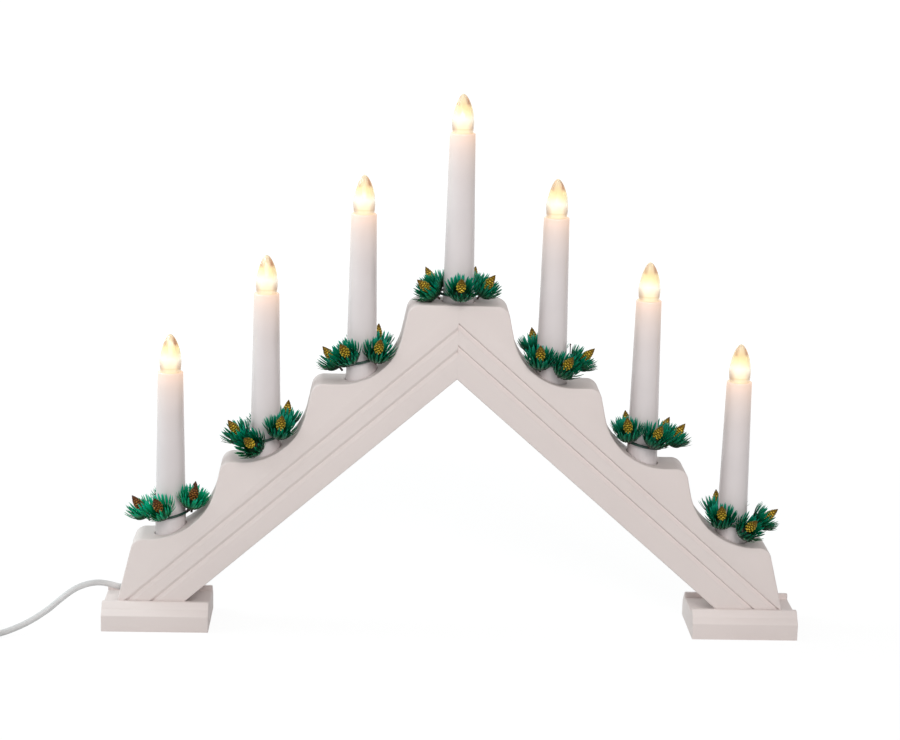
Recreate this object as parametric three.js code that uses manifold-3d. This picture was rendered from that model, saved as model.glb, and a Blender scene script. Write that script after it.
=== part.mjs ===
// Seven-light electric advent candlestick: a painted wooden gable on two moulded feet, seven wired
// candles with screw-in bulbs, a needle ring with cones round each candle, and a lead with its plug.
// Millimetres, +Z up, the front faces -Y, the origin is on the table midway between the feet.

import * as THREE from 'three';
import { mergeVertices } from 'three/addons/utils/BufferGeometryUtils.js';
import Module from 'manifold-3d';

const wasm = await Module();
wasm.setup();

// Clearances
const SEAT = 0.3; // between faces that touch on the real object
const BORE_PLAY = 0.6; // round a candle in its bore
const HOLE_PLAY = 0.7; // round the lead in its hole
const RING_PLAY = 0.5; // between a needle ring and what it stands round or over

// Feet
const SPAN = 400; // across the outer ends of both feet
const FOOT_LENGTH = 61;
const FOOT_DEPTH = 45;
const FOOT_HEIGHT = 16;
const FOOT_FRONT = 9.3; // upright part of the front and back
const FOOT_LIP = 2; // flat rim on each side of the channel
const FOOT_EASE = 1; // rounding of the long edges
const CHANNEL_DEPTH = 3.2; // the arm stands in this channel

// Arms: one wave-cut board on each side, mitred at the top
const BOARD = 28; // thickness
const APEX_TOP = 191.5; // height of the top plateau
const APEX_HALF = 27.5; // half the width of the top plateau
const APEX_INNER = 148.9; // height of the underside at the mitre
const UNDERSIDE_ANGLE = 41.1; // degrees below level
const STEP_RISE = 46.3;
const STEP_RUNS = [53.5, 51.2, 50.1]; // from plateau end to plateau end, going down
const COVE_RADII = [35, 37, 40]; // hollow below each step, going down
const SIDE_LEAN = 12; // degrees from upright, side of a step
const END_LEAN = 14; // degrees from upright, outer end of the arm
const APEX_CORNER = 7.5;
const PLATEAU_CORNER = 7;

// V-grooves on the front of each arm, parallel to its underside
const GROOVES = 2;
const GROOVE_WIDTH = 2.6;
const GROOVE_DEPTH = 1.6;
const GROOVE_SPACING = 9.5;
const GROOVE_FROM_EDGE = { left: 12.1, right: 14.3 }; // the two boards differ a little

// Wiring ways in the wood
const BORE_DEPTH = 20; // below the plateau
const WIRE_HOLE_RADIUS = 4;
const TRENCH_WIDTH = 9; // along the underside
const TRENCH_DEPTH = 8;
const LEAD_HOLE_HEIGHT = 19.3; // above the table

// Candles
const CANDLE_PITCH = 54;
const CANDLES_EACH_SIDE = STEP_RUNS.length;
const CANDLE_HEIGHT = 95.2; // above its plateau
const CANDLE_BASE_RADIUS = 8.85;
const CANDLE_TOP_RADIUS = 7.2;
const CANDLE_WALL = 1.3;
const CANDLE_RIM = 0.8; // rounding of the top edge

// Bulbs with a small screw cap, and their holders
const CAP_RADIUS = 4.65;
const CAP_LENGTH = 10;
const CAP_CONTACT_RADIUS = 1.9;
const CAP_CONTACT_HEIGHT = 0.9;
const CAP_SHOULDER = 2.6; // height at which the cap has its full radius
const GLOBE_NECK = 2.6; // length of the globe inside the candle
const GLOBE_NECK_RADIUS = 5.35;
const GLOBE_RADIUS = 6.05;
const GLOBE_HEIGHT = 21.8; // above the candle's rim
const GLOBE_WIDEST = 6.5; // above the candle's rim
const GLOBE_WALL = 0.9;
const GLOBE_TIP_WALL = 3; // solid clear tip
const OGIVE_SWELL = 1.6; // the higher, the longer the globe stays full
const OGIVE_CLOSE = 0.68; // the lower, the blunter its tip
const LED_RADIUS = 2.3;
const LED_STEM_RADIUS = 1.4;
const LED_STEM_LENGTH = 5;
const LED_LENGTH = 5.5;
const HOLDER_FLOOR = 2.4;
const HOLDER_DROP = 1.2; // rim of the holder below the top of the cap
const TERMINAL_RADIUS = 1.9;
const TERMINAL_LENGTH = 3;

// Needle rings
const RING_RADIUS = 11; // centre line of the wire
const RING_WIRE_RADIUS = 0.8;
const RING_HEIGHT = 12; // above the plateau, on the slope
const RING_HEIGHT_APEX = 5; // above the plateau, at the top
const RING_TILT = 13; // degrees, rising towards the middle of the gable
const SPRIGS = 5;
const SPRIG_RISE = 50; // degrees above the ring's plane
const SPRIG_ROOT = 1.6; // cup's root above the wire, along the sprig's own axis
const CUP_RADIUS = 4.4; // where the needles part
const CUP_HEIGHT = 3; // above the root
const CUP_FLOOR_RADIUS = 3.3; // inside the cup, round the cone
const CUP_FLOOR_HEIGHT = 3.6;
const NEEDLES = 10;
const NEEDLE_THICKNESS = 0.65;
const LOW_NEEDLE = { radius: 10.5, height: 5 }; // tip from the axis and above the root
const HIGH_NEEDLE = { radius: 8.8, height: 8.6 };
const NEEDLE_FITS = 10; // lengths tried where the candle, the wood or a neighbour is in the way
const SECTOR_PLAY = 1; // degrees left between the needles of neighbouring sprigs
const CONE_RADIUS = 2.7;
const CONE_LENGTH = 9.8;
const CONE_START = 2.2; // above the root
const CONE_BLUNT = 0.15; // share of a half wave cut off at the cone's base
const STUB_RADIUS = 0.6; // wire end under each sprig

// Fastenings
const DOWEL_RADIUS = 3;
const DOWEL_LENGTH = 30;
const DOWEL_CHAMFER = 0.8;
const DOWEL_OFFSET = 9; // from the middle of the board
const SCREW_LENGTH = 34;
const SCREW_RADIUS = 2;
const SCREW_HEAD_RADIUS = 4;
const SCREW_HEAD_HEIGHT = 2.6;
const SCREW_POINT = 5;
const SCREW_RECESS = 1; // head above the foot's bottom
const SCREW_OFFSET = 7; // from the middle of the board
const SCREW_FROM_END = 20; // from the outer end of the foot

// Lead: a free stretch, a tied coil of two layers, and a flat two-pin plug
const LEAD_RADIUS = 1.75;
const WIRE_RADIUS = 1.2;
const LEAD_INSIDE = 3; // how far the free stretch reaches into its hole
const COIL_X = -294;
const COIL_Y = -18;
const COIL_INNER = 13; // radius of the innermost turn
const COIL_TURNS = 4; // in each layer
const COIL_PITCH = 4.1; // from turn to turn
const COIL_LAYER = 4.1; // from layer to layer
const COIL_START = -62; // degrees, where the lead joins the outer turn
const COIL_CLIMB = 0.25; // turns before and after the reversal in which it changes layer
const COIL_EXTRA = 43; // degrees past whole turns, where the end leaves it
const COIL_TAIL = 22; // straight end that runs to the plug
const TAIL_STEPS = 3;
const TAIL_RISE = 2 / 3; // share of the end in which it comes level with the plug
const LOOP_STEPS = 24;
const LOOP_SIDES = 6;
const TIE_WIDTH = 6;
const TIE_THICKNESS = 0.6;
const TIE_ANGLE = 150; // degrees round the coil
const PLUG_WIDTH = 35.3;
const PLUG_THICKNESS = 13.7;
const PLUG_LENGTH = 34;
const PLUG_FACE_LENGTH = 11; // full-width part behind the pins
const PLUG_GRIP_WIDTH = 17;
const PLUG_CORNER = 2;
const PLUG_NOSE_LENGTH = 16; // tapered strain relief
const PLUG_NOSE_RADIUS = 4;
const PLUG_NOSE_END = 2.6;
const PIN_RADIUS = 2;
const PIN_LENGTH = 19;
const PIN_SPACING = 18.6;

// Facets
const TURNED_SIDES = 12;
const CANDLE_SIDES = 16;
const WIRE_SIDES = 6;
const LED_SIDES = 6;
const CAP_SIDES = 10;
const LEAD_SIDES = 8;
const RING_STEPS = 15;
const RING_SIDES = 4;
const CONE_SIDES = 7;
const CONE_STEPS = 3;
const GLOBE_STEPS = 6;
const GLOBE_INNER_STEPS = 4;
const COVE_STEPS = 6;
const CURVE_STEPS = 2;
const FASTENER_SIDES = 8;
const WELD = 1e-4;
const PAST = 1; // how far a cutting tool reaches past the face it cuts

const radians = THREE.MathUtils.degToRad;

// Values that follow from the sizes above
const armBase = FOOT_HEIGHT - CHANNEL_DEPTH + SEAT;
const undersideTan = Math.tan(radians(UNDERSIDE_ANGLE));
const sideTan = Math.tan(radians(SIDE_LEAN));
const endTan = Math.tan(radians(END_LEAN));
const level = (step) => APEX_TOP - step * STEP_RISE;
const plateauEnds = STEP_RUNS.reduce((ends, run) => [...ends, ends.at(-1) + run], [APEX_HALF]);
const lastStep = plateauEnds.length - 1;
const undersideX = (z) => (APEX_INNER - z) / undersideTan;
const armEndX = (z) => plateauEnds[lastStep] + endTan * (level(lastStep) - z);
const boreRadius = CANDLE_BASE_RADIUS + BORE_PLAY;
const leadHoleRadius = LEAD_RADIUS + HOLE_PLAY;
const capTop = CANDLE_HEIGHT - GLOBE_NECK;
const capBottom = capTop - CAP_LENGTH;
const holderTop = capTop - HOLDER_DROP;
const holderFloorTop = capBottom - SEAT;
const holderBottom = holderFloorTop - HOLDER_FLOOR - TERMINAL_LENGTH;
const dowelHeight = (APEX_INNER + APEX_TOP - BORE_DEPTH) / 2; // midway up the wood below the bore
const screwX = SPAN / 2 - SCREW_FROM_END;
const candleNumbers = Array.from(
  { length: 2 * CANDLES_EACH_SIDE + 1 },
  (_, i) => i - CANDLES_EACH_SIDE,
);

// Closed-mesh helpers

function closedMesh(source) {
  const bare = source.clone();
  bare.deleteAttribute('normal');
  bare.deleteAttribute('uv');
  const merged = mergeVertices(bare, WELD);
  const corners = merged.index.array;
  const kept = [];
  for (let i = 0; i < corners.length; i += 3) {
    const [a, b, c] = corners.slice(i, i + 3);
    if (a !== b && b !== c && c !== a) kept.push(a, b, c);
  }
  merged.setIndex(kept);
  return merged;
}

function solid(geometry) {
  const mesh = closedMesh(geometry);
  const vertProperties = Float32Array.from(mesh.attributes.position.array);
  const triVerts = Uint32Array.from(mesh.index.array);
  return new wasm.Manifold(new wasm.Mesh({ numProp: 3, vertProperties, triVerts }));
}

function geometryOf(body) {
  const { numProp, vertProperties, triVerts } = body.getMesh();
  const places = [];
  for (let i = 0; i < vertProperties.length; i += numProp) {
    places.push(vertProperties[i], vertProperties[i + 1], vertProperties[i + 2]);
  }
  const geometry = new THREE.BufferGeometry();
  geometry.setAttribute('position', new THREE.Float32BufferAttribute(places, 3));
  geometry.setIndex(Array.from(triVerts));
  return geometry;
}

const join = (bodies) => bodies.reduce((whole, body) => whole.add(body));
const cut = (body, tools) => tools.reduce((rest, tool) => rest.subtract(tool), body);

// Outline with each corner [x, y, radius] rounded; a corner without a radius stays sharp
function roundedOutline(corners) {
  const shape = new THREE.Shape();
  corners.forEach(([x, y, radius = 0], i) => {
    const corner = new THREE.Vector2(x, y);
    if (radius === 0) {
      if (i === 0) shape.moveTo(x, y);
      else shape.lineTo(x, y);
      return;
    }
    const before = new THREE.Vector2(...corners.at(i - 1)).sub(corner).normalize();
    const after = new THREE.Vector2(...corners[(i + 1) % corners.length]).sub(corner).normalize();
    const half = Math.acos(before.dot(after)) / 2;
    const reach = radius / Math.tan(half);
    const middle = before.clone().add(after).normalize();
    const centre = corner.clone().addScaledVector(middle, radius / Math.sin(half));
    const start = corner.clone().addScaledVector(before, reach).sub(centre).angle();
    const end = corner.clone().addScaledVector(after, reach).sub(centre).angle();
    // An arc alone doesn't join the corner that the outline starts from
    if (i > 0) shape.lineTo(centre.x + radius * Math.cos(start), centre.y + radius * Math.sin(start));
    shape.absarc(centre.x, centre.y, radius, start, end, before.cross(after) > 0);
  });
  shape.closePath();
  return shape;
}

// A shape pushed along an axis: its x and y lie along the two given directions
function pushed(shape, length, xAxis, yAxis, middle, curveSegments = CURVE_STEPS) {
  const geometry = new THREE.ExtrudeGeometry(shape, {
    depth: length,
    bevelEnabled: false,
    curveSegments,
  });
  geometry.translate(0, 0, -length / 2);
  const along = xAxis.clone().cross(yAxis);
  const frame = new THREE.Matrix4().makeBasis(xAxis, yAxis, along);
  geometry.applyMatrix4(frame.setPosition(middle));
  return geometry;
}

// A turned piece standing on +Z; the profile runs upwards outside, from the axis or round a wall
function turned(profile, sides) {
  const points = profile.map(([radius, height]) => new THREE.Vector2(radius, height));
  return new THREE.LatheGeometry(points, sides).rotateX(Math.PI / 2);
}

// A round bar from one point to another
function bar(from, to, radius, sides) {
  const way = to.clone().sub(from);
  const geometry = new THREE.CylinderGeometry(radius, radius, way.length(), sides);
  const turn = new THREE.Quaternion().setFromUnitVectors(CYLINDER_AXIS, way.clone().normalize());
  geometry.applyQuaternion(turn);
  const middle = from.clone().add(to).multiplyScalar(0.5);
  return geometry.translate(middle.x, middle.y, middle.z);
}

const X = new THREE.Vector3(1, 0, 0);
const Y = new THREE.Vector3(0, 1, 0);
const Z = new THREE.Vector3(0, 0, 1);
const CYLINDER_AXIS = Y; // before it is turned
const at = (x, y, z) => new THREE.Vector3(x, y, z);

// Arms

// Centre of the hollow that leads down to a plateau
function coveCentre(step) {
  const radius = COVE_RADII[step - 1];
  const x = plateauEnds[step - 1] + sideTan * (STEP_RISE - radius);
  return { x: x + radius / Math.cos(radians(SIDE_LEAN)), z: level(step) + radius, radius };
}

// Height of the arm's wavy top edge
function armTop(x) {
  const away = Math.abs(x);
  const step = plateauEnds.findIndex((end) => away <= end);
  if (step < 0) return armBase;
  if (step === 0) return level(0);
  const cove = coveCentre(step);
  if (away >= cove.x) return level(step);
  const tangent = cove.x - cove.radius * Math.cos(radians(SIDE_LEAN));
  if (away < tangent) return level(step - 1) - (away - plateauEnds[step - 1]) / sideTan;
  return cove.z - Math.sqrt(cove.radius ** 2 - (cove.x - away) ** 2);
}

function armCorners() {
  const mitre = SEAT / 2;
  const corners = [
    [mitre, APEX_INNER - mitre * undersideTan],
    [mitre, APEX_TOP],
  ];
  for (let step = 1; step <= lastStep; step += 1) {
    const corner = step === 1 ? APEX_CORNER : PLATEAU_CORNER;
    const end = plateauEnds[step - 1];
    corners.push([end, level(step - 1), corner]);
    corners.push([end + sideTan * STEP_RISE, level(step), COVE_RADII[step - 1]]);
  }
  corners.push([plateauEnds[lastStep], level(lastStep), PLATEAU_CORNER]);
  corners.push([armEndX(armBase), armBase]);
  corners.push([undersideX(armBase), armBase]);
  return corners;
}

// Upright cut from one height to another
const upright = (x, y, low, high, radius, sides = CANDLE_SIDES) =>
  solid(bar(at(x, y, low), at(x, y, high), radius, sides));

function arm(side, sign) {
  const outline = roundedOutline(armCorners().map(([x, z, radius]) => [x * sign, z, radius]));
  const board = solid(pushed(outline, BOARD, X, Z, at(0, 0, 0), COVE_STEPS));
  const slope = radians(UNDERSIDE_ANGLE);
  const inward = at(sign * Math.sin(slope), 0, Math.cos(slope));
  const runMiddle = at((sign * undersideX(armBase)) / 2, 0, (APEX_INNER + armBase) / 2);
  const runLength = 2 * undersideX(armBase);
  const tools = [];

  const vee = new THREE.Shape([
    new THREE.Vector2(-GROOVE_WIDTH, -GROOVE_DEPTH),
    new THREE.Vector2(GROOVE_WIDTH, -GROOVE_DEPTH),
    new THREE.Vector2(0, GROOVE_DEPTH),
  ]);
  for (let count = 0; count < GROOVES; count += 1) {
    const middle = runMiddle.clone();
    middle.addScaledVector(inward, GROOVE_FROM_EDGE[side] + count * GROOVE_SPACING);
    middle.setY(-BOARD / 2);
    tools.push(solid(pushed(vee, runLength, inward, Y, middle)));
  }

  const trench = roundedOutline([
    [-PAST, -TRENCH_WIDTH / 2],
    [TRENCH_DEPTH, -TRENCH_WIDTH / 2],
    [TRENCH_DEPTH, TRENCH_WIDTH / 2],
    [-PAST, TRENCH_WIDTH / 2],
  ]);
  tools.push(solid(pushed(trench, runLength, inward, Y, runMiddle)));

  for (let number = 0; number <= CANDLES_EACH_SIDE; number += 1) {
    const x = sign * CANDLE_PITCH * number;
    const floor = level(number) - BORE_DEPTH;
    const below = Math.max(APEX_INNER - Math.abs(x) * undersideTan, LEAD_HOLE_HEIGHT);
    tools.push(upright(x, 0, floor, APEX_TOP + PAST, boreRadius));
    tools.push(upright(x, 0, below, floor + PAST, WIRE_HOLE_RADIUS, TURNED_SIDES));
  }

  const blindEnd = CANDLE_PITCH * CANDLES_EACH_SIDE + WIRE_HOLE_RADIUS;
  const outerEnd = side === 'left' ? armEndX(0) : blindEnd;
  const leadFrom = at(sign * undersideX(LEAD_HOLE_HEIGHT + TRENCH_DEPTH), 0, LEAD_HOLE_HEIGHT);
  const leadTo = at(sign * outerEnd, 0, LEAD_HOLE_HEIGHT);
  tools.push(solid(bar(leadFrom, leadTo, leadHoleRadius, TURNED_SIDES)));

  for (const front of [-1, 1]) {
    const y = front * DOWEL_OFFSET;
    const reach = DOWEL_LENGTH / 2 + SEAT;
    const from = at(-reach, y, dowelHeight);
    const to = at(reach, y, dowelHeight);
    tools.push(solid(bar(from, to, DOWEL_RADIUS + SEAT, FASTENER_SIDES)));
    const tip = SCREW_RECESS + SCREW_LENGTH + SEAT;
    const pilot = SCREW_RADIUS + SEAT;
    tools.push(upright(sign * screwX, front * SCREW_OFFSET, 0, tip, pilot, FASTENER_SIDES));
  }
  return geometryOf(cut(board, tools));
}

// Fastenings

function screwProfile(play) {
  return [
    [0, -play],
    [SCREW_HEAD_RADIUS + play, -play],
    [SCREW_RADIUS + play, SCREW_HEAD_HEIGHT + play],
    [SCREW_RADIUS + play, SCREW_LENGTH - SCREW_POINT],
    [0, SCREW_LENGTH + play],
  ];
}

function dowel() {
  const half = DOWEL_LENGTH / 2;
  const profile = [
    [0, -half],
    [DOWEL_RADIUS - DOWEL_CHAMFER, -half],
    [DOWEL_RADIUS, DOWEL_CHAMFER - half],
    [DOWEL_RADIUS, half - DOWEL_CHAMFER],
    [DOWEL_RADIUS - DOWEL_CHAMFER, half],
    [0, half],
  ];
  return turned(profile, FASTENER_SIDES).rotateY(Math.PI / 2);
}

// Feet

function foot(sign) {
  const depth = FOOT_DEPTH / 2;
  const channel = BOARD / 2 + SEAT;
  const half = [
    [depth, 0],
    [depth, FOOT_FRONT, FOOT_EASE],
    [channel + FOOT_LIP, FOOT_HEIGHT, FOOT_EASE],
    [channel, FOOT_HEIGHT],
    [channel, FOOT_HEIGHT - CHANNEL_DEPTH],
  ];
  const back = half.map(([y, z, radius]) => [-y, z, radius]).reverse();
  const middle = at(sign * (SPAN / 2 - FOOT_LENGTH / 2), 0, 0);
  const block = solid(pushed(roundedOutline([...half, ...back]), FOOT_LENGTH, Y, Z, middle));
  const holes = [-1, 1].map((front) => {
    const hole = turned(screwProfile(SEAT), FASTENER_SIDES);
    return solid(hole.translate(sign * screwX, front * SCREW_OFFSET, SCREW_RECESS));
  });
  const mouths = [-1, 1].map((front) => {
    const [x, y] = [sign * screwX, front * SCREW_OFFSET];
    return upright(x, y, -PAST, SCREW_RECESS, SCREW_HEAD_RADIUS + SEAT, FASTENER_SIDES);
  });
  return geometryOf(cut(block, [...holes, ...mouths]));
}

// Candles

// Outer radius of the tapered candle tube at a height above the plateau
function candleRadius(height) {
  const share = Math.max(height, 0) / CANDLE_HEIGHT;
  return CANDLE_BASE_RADIUS + share * (CANDLE_TOP_RADIUS - CANDLE_BASE_RADIUS);
}

function sleeve() {
  const bottom = SEAT - BORE_DEPTH;
  const inside = (height) => candleRadius(height) - CANDLE_WALL;
  return turned([
    [inside(bottom), bottom],
    [CANDLE_BASE_RADIUS, bottom],
    [CANDLE_BASE_RADIUS, 0],
    [candleRadius(CANDLE_HEIGHT - CANDLE_RIM), CANDLE_HEIGHT - CANDLE_RIM],
    [CANDLE_TOP_RADIUS - CANDLE_RIM / 2, CANDLE_HEIGHT],
    [inside(CANDLE_HEIGHT), CANDLE_HEIGHT],
    [inside(0), 0],
    [inside(bottom), bottom],
  ], CANDLE_SIDES);
}

function lampHolder() {
  const radius = candleRadius(holderTop) - CANDLE_WALL - SEAT;
  const socket = CAP_RADIUS + SEAT;
  return turned([
    [0, holderBottom],
    [TERMINAL_RADIUS, holderBottom],
    [TERMINAL_RADIUS, holderFloorTop - HOLDER_FLOOR],
    [radius, holderFloorTop - HOLDER_FLOOR],
    [radius, holderTop],
    [socket, holderTop],
    [socket, holderFloorTop],
    [0, holderFloorTop],
  ], CAP_SIDES);
}

function bulbCap() {
  return turned([
    [0, capBottom],
    [CAP_CONTACT_RADIUS, capBottom],
    [CAP_CONTACT_RADIUS, capBottom + CAP_CONTACT_HEIGHT],
    [CAP_RADIUS, capBottom + CAP_SHOULDER],
    [CAP_RADIUS, capTop],
    [0, capTop],
  ], CAP_SIDES);
}

// Pointed globe: straight neck, slight swell, then an ogive that closes at the tip
function ogive(radius, widest, tip, count) {
  return Array.from({ length: count }, (_, i) => {
    const share = i / (count - 1);
    const full = (1 - share ** OGIVE_SWELL) ** OGIVE_CLOSE;
    return [radius * full, widest + share * (tip - widest)];
  });
}

function globe() {
  const bottom = capTop + SEAT;
  const widest = CANDLE_HEIGHT + GLOBE_WIDEST;
  const tip = CANDLE_HEIGHT + GLOBE_HEIGHT;
  const outside = ogive(GLOBE_RADIUS, widest, tip, GLOBE_STEPS);
  const hollowTip = tip - GLOBE_TIP_WALL;
  const inside = ogive(GLOBE_RADIUS - GLOBE_WALL, widest, hollowTip, GLOBE_INNER_STEPS).reverse();
  const neck = GLOBE_NECK_RADIUS - GLOBE_WALL;
  const wall = [
    [GLOBE_NECK_RADIUS, bottom],
    [GLOBE_NECK_RADIUS, CANDLE_HEIGHT],
    ...outside,
    ...inside,
    [neck, CANDLE_HEIGHT],
    [neck, bottom],
    [GLOBE_NECK_RADIUS, bottom],
  ];
  return turned(wall, TURNED_SIDES);
}

function led() {
  const foot = capTop + SEAT;
  const body = foot + LED_STEM_LENGTH;
  const dome = body + LED_LENGTH;
  return turned([
    [0, foot],
    [LED_STEM_RADIUS, foot],
    [LED_STEM_RADIUS, body],
    [LED_RADIUS, body],
    [LED_RADIUS, dome - LED_RADIUS],
    [LED_RADIUS / 2, dome - LED_RADIUS / 4],
    [0, dome],
  ], LED_SIDES);
}

// Needle rings

// True where a point of a ring clears the candle and the wood, given in the candlestick's frame
function clear(point, candleX) {
  const fromAxis = Math.hypot(point.x - candleX, point.y);
  if (fromAxis < CANDLE_BASE_RADIUS + RING_PLAY) return false;
  const besideBoard = Math.abs(point.y) > BOARD / 2 + RING_PLAY;
  return besideBoard || point.z > armTop(point.x) + RING_PLAY;
}

// Skin over rings of points, each counter-clockwise as seen from the last; an end ring is one point
function lofted(rings) {
  const triangles = [];
  rings.slice(1).forEach((above, k) => {
    const below = rings[k];
    let [i, j] = [0, 0];
    while (i < below.length || j < above.length) {
      const [a, b] = [below[i % below.length], above[j % above.length]];
      const ahead = (i + 1) * above.length <= (j + 1) * below.length;
      if (j === above.length || (ahead && i < below.length)) {
        triangles.push(a, below[(i + 1) % below.length], b);
        i += 1;
      } else {
        triangles.push(a, above[(j + 1) % above.length], b);
        j += 1;
      }
    }
  });
  return new THREE.BufferGeometry().setFromPoints(triangles);
}

const circle = (count, radius, height) => Array.from({ length: count }, (_, i) => {
  const turn = (2 * Math.PI * i) / count;
  return at(radius * Math.cos(turn), radius * Math.sin(turn), height);
});

// Outer and inner rim of a cup that parts into low and high needles in turn, as long as fits allows
function needleRims(fits) {
  const rims = [[], []];
  circle(2 * NEEDLES, 1, 0).forEach((way, i) => {
    const needle = i % 4 === 1 ? LOW_NEEDLE : HIGH_NEEDLE;
    const foot = way.clone().multiplyScalar(CUP_RADIUS).setZ(CUP_HEIGHT);
    const tip = way.clone().multiplyScalar(needle.radius).setZ(needle.height);
    const lift = tip.clone().sub(foot).cross(at(-way.y, way.x, 0)).setLength(NEEDLE_THICKNESS);
    const edges = (reach) => {
      const outer = foot.clone().lerp(tip, reach / NEEDLE_FITS);
      return [outer, outer.clone().add(lift)];
    };
    const roomy = (reach) => [reach, reach / 2].every((part) => edges(part).every(fits));
    let reach = i % 2 === 0 ? 0 : NEEDLE_FITS;
    while (reach > 1 && !roomy(reach)) reach -= 1;
    edges(reach).forEach((point, k) => rims[k].push(point));
  });
  return rims;
}

// Swelling rings of a small cone, without its tip
function coneRings() {
  return Array.from({ length: CONE_STEPS }, (_, i) => {
    const share = i / CONE_STEPS;
    const swell = Math.sin(Math.PI * THREE.MathUtils.lerp(CONE_BLUNT, 1, share));
    return circle(CONE_SIDES, CONE_RADIUS * swell, CONE_START + share * CONE_LENGTH);
  });
}

// One sprig: a wire end from the wood through the ring's wire, a cup of needles and a cone in it
function sprig(ring, turn, candleX) {
  const spin = new THREE.Matrix4().makeRotationZ(turn);
  const lean = new THREE.Matrix4().makeRotationY(Math.PI / 2 - radians(SPRIG_RISE));
  const sector = ring.clone().multiply(spin);
  const place = sector.clone().multiply(lean.setPosition(RING_RADIUS, 0, 0));
  const onWire = at(0, 0, 0).applyMatrix4(place);
  const woodTop = Math.max(armTop(onWire.x - STUB_RADIUS), armTop(onWire.x + STUB_RADIUS));
  const seat = onWire.clone().setZ(woodTop + SEAT);
  place.multiply(new THREE.Matrix4().makeTranslation(0, 0, SPRIG_ROOT));

  const toSector = sector.clone().invert().multiply(place);
  const halfSector = Math.PI / SPRIGS - radians(SECTOR_PLAY);
  const fits = (point) => {
    const inSector = point.clone().applyMatrix4(toSector);
    if (Math.abs(Math.atan2(inSector.y, inSector.x)) > halfSector) return false;
    return clear(point.clone().applyMatrix4(place), candleX);
  };
  const level = (centre) => circle(RING_SIDES, STUB_RADIUS, 0).map((point) =>
    point.applyMatrix4(spin).add(centre));
  const inPlace = (points) => points.map((point) => point.clone().applyMatrix4(place));
  return solid(lofted([
    [seat],
    level(seat),
    level(onWire),
    inPlace(circle(RING_SIDES, STUB_RADIUS, 0)),
    ...needleRims(fits).map(inPlace),
    inPlace(circle(CONE_SIDES, CUP_FLOOR_RADIUS, CUP_FLOOR_HEIGHT)),
    ...coneRings().map(inPlace),
    inPlace([at(0, 0, CONE_START + CONE_LENGTH)]),
  ]));
}

function needleRing(number) {
  const candleX = CANDLE_PITCH * number;
  const step = Math.abs(number);
  const height = level(step) + (step === 0 ? RING_HEIGHT_APEX : RING_HEIGHT);
  const tilt = radians(RING_TILT) * Math.sign(number);
  const ring = new THREE.Matrix4().makeRotationY(tilt).setPosition(candleX, 0, height);
  const wire = new THREE.TorusGeometry(RING_RADIUS, RING_WIRE_RADIUS, RING_SIDES, RING_STEPS);
  const bodies = [solid(wire.applyMatrix4(ring))];
  // The top ring has a sprig in front, the others have one at the back
  const first = step === 0 ? -Math.PI / 2 : Math.PI / 2;
  for (let i = 0; i < SPRIGS; i += 1) {
    bodies.push(sprig(ring, first + (2 * Math.PI * i) / SPRIGS, candleX));
  }
  return geometryOf(join(bodies)).translate(-candleX, 0, -level(step));
}

// Wiring inside the wood: along the trench, with a riser to each lamp holder

function wiring(sign, numbers, inner) {
  const offset = (TRENCH_DEPTH - WIRE_RADIUS - SEAT) / Math.cos(radians(UNDERSIDE_ANGLE));
  const runHeight = (x) => APEX_INNER + offset - Math.abs(x) * undersideTan;
  const lowX = (APEX_INNER + offset - LEAD_HOLE_HEIGHT) / undersideTan;
  const wire = (from, to, radius = WIRE_RADIUS) => solid(bar(from, to, radius, WIRE_SIDES));
  const low = at(sign * lowX, 0, LEAD_HOLE_HEIGHT);
  const bodies = [wire(at(sign * inner, 0, runHeight(inner)), low)];
  const lastX = CANDLE_PITCH * CANDLES_EACH_SIDE;
  const mouth = armEndX(LEAD_HOLE_HEIGHT) - LEAD_INSIDE - SEAT;
  const outerX = sign < 0 ? mouth : lastX + WIRE_RADIUS;
  const levelEnd = at(sign * outerX, 0, LEAD_HOLE_HEIGHT);
  bodies.push(wire(low, levelEnd, sign < 0 ? LEAD_RADIUS : WIRE_RADIUS));
  for (const number of numbers) {
    const x = sign * CANDLE_PITCH * number;
    const from = Math.max(runHeight(x), LEAD_HOLE_HEIGHT);
    bodies.push(wire(at(x, 0, from), at(x, 0, level(number) + holderBottom - SEAT)));
  }
  return geometryOf(join(bodies));
}

// Lead

const coilOuter = COIL_INNER + COIL_TURNS * COIL_PITCH;
const coilLow = TIE_THICKNESS + 2 * SEAT + LEAD_RADIUS;
const coilSpin = 2 * COIL_TURNS + COIL_EXTRA / 360; // whole winding, in turns

// Points of the coil: in along the lower layer, up in the half turn where it reverses, out above
function coilPoints() {
  const points = [];
  const count = Math.round(coilSpin * LOOP_STEPS);
  for (let i = 0; i <= count; i += 1) {
    const turns = (i / count) * coilSpin;
    const fromReverse = turns - coilSpin / 2;
    const climb = THREE.MathUtils.smoothstep(fromReverse, -COIL_CLIMB, COIL_CLIMB);
    const radius = COIL_INNER + Math.abs(fromReverse) * COIL_PITCH;
    const angle = radians(COIL_START) - turns * 2 * Math.PI;
    const x = COIL_X + radius * Math.cos(angle);
    const y = COIL_Y + radius * Math.sin(angle);
    points.push(at(x, y, coilLow + climb * COIL_LAYER));
  }
  const way = points.at(-1).clone().sub(points.at(-2)).setZ(0).normalize();
  const last = points.at(-1);
  for (let step = 1; step <= TAIL_STEPS; step += 1) {
    const share = step / TAIL_STEPS;
    const point = last.clone().addScaledVector(way, share * COIL_TAIL);
    const risen = Math.min(1, share / TAIL_RISE);
    point.setZ(THREE.MathUtils.lerp(last.z, PLUG_THICKNESS / 2, risen));
    points.push(point);
  }
  return points;
}

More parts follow.
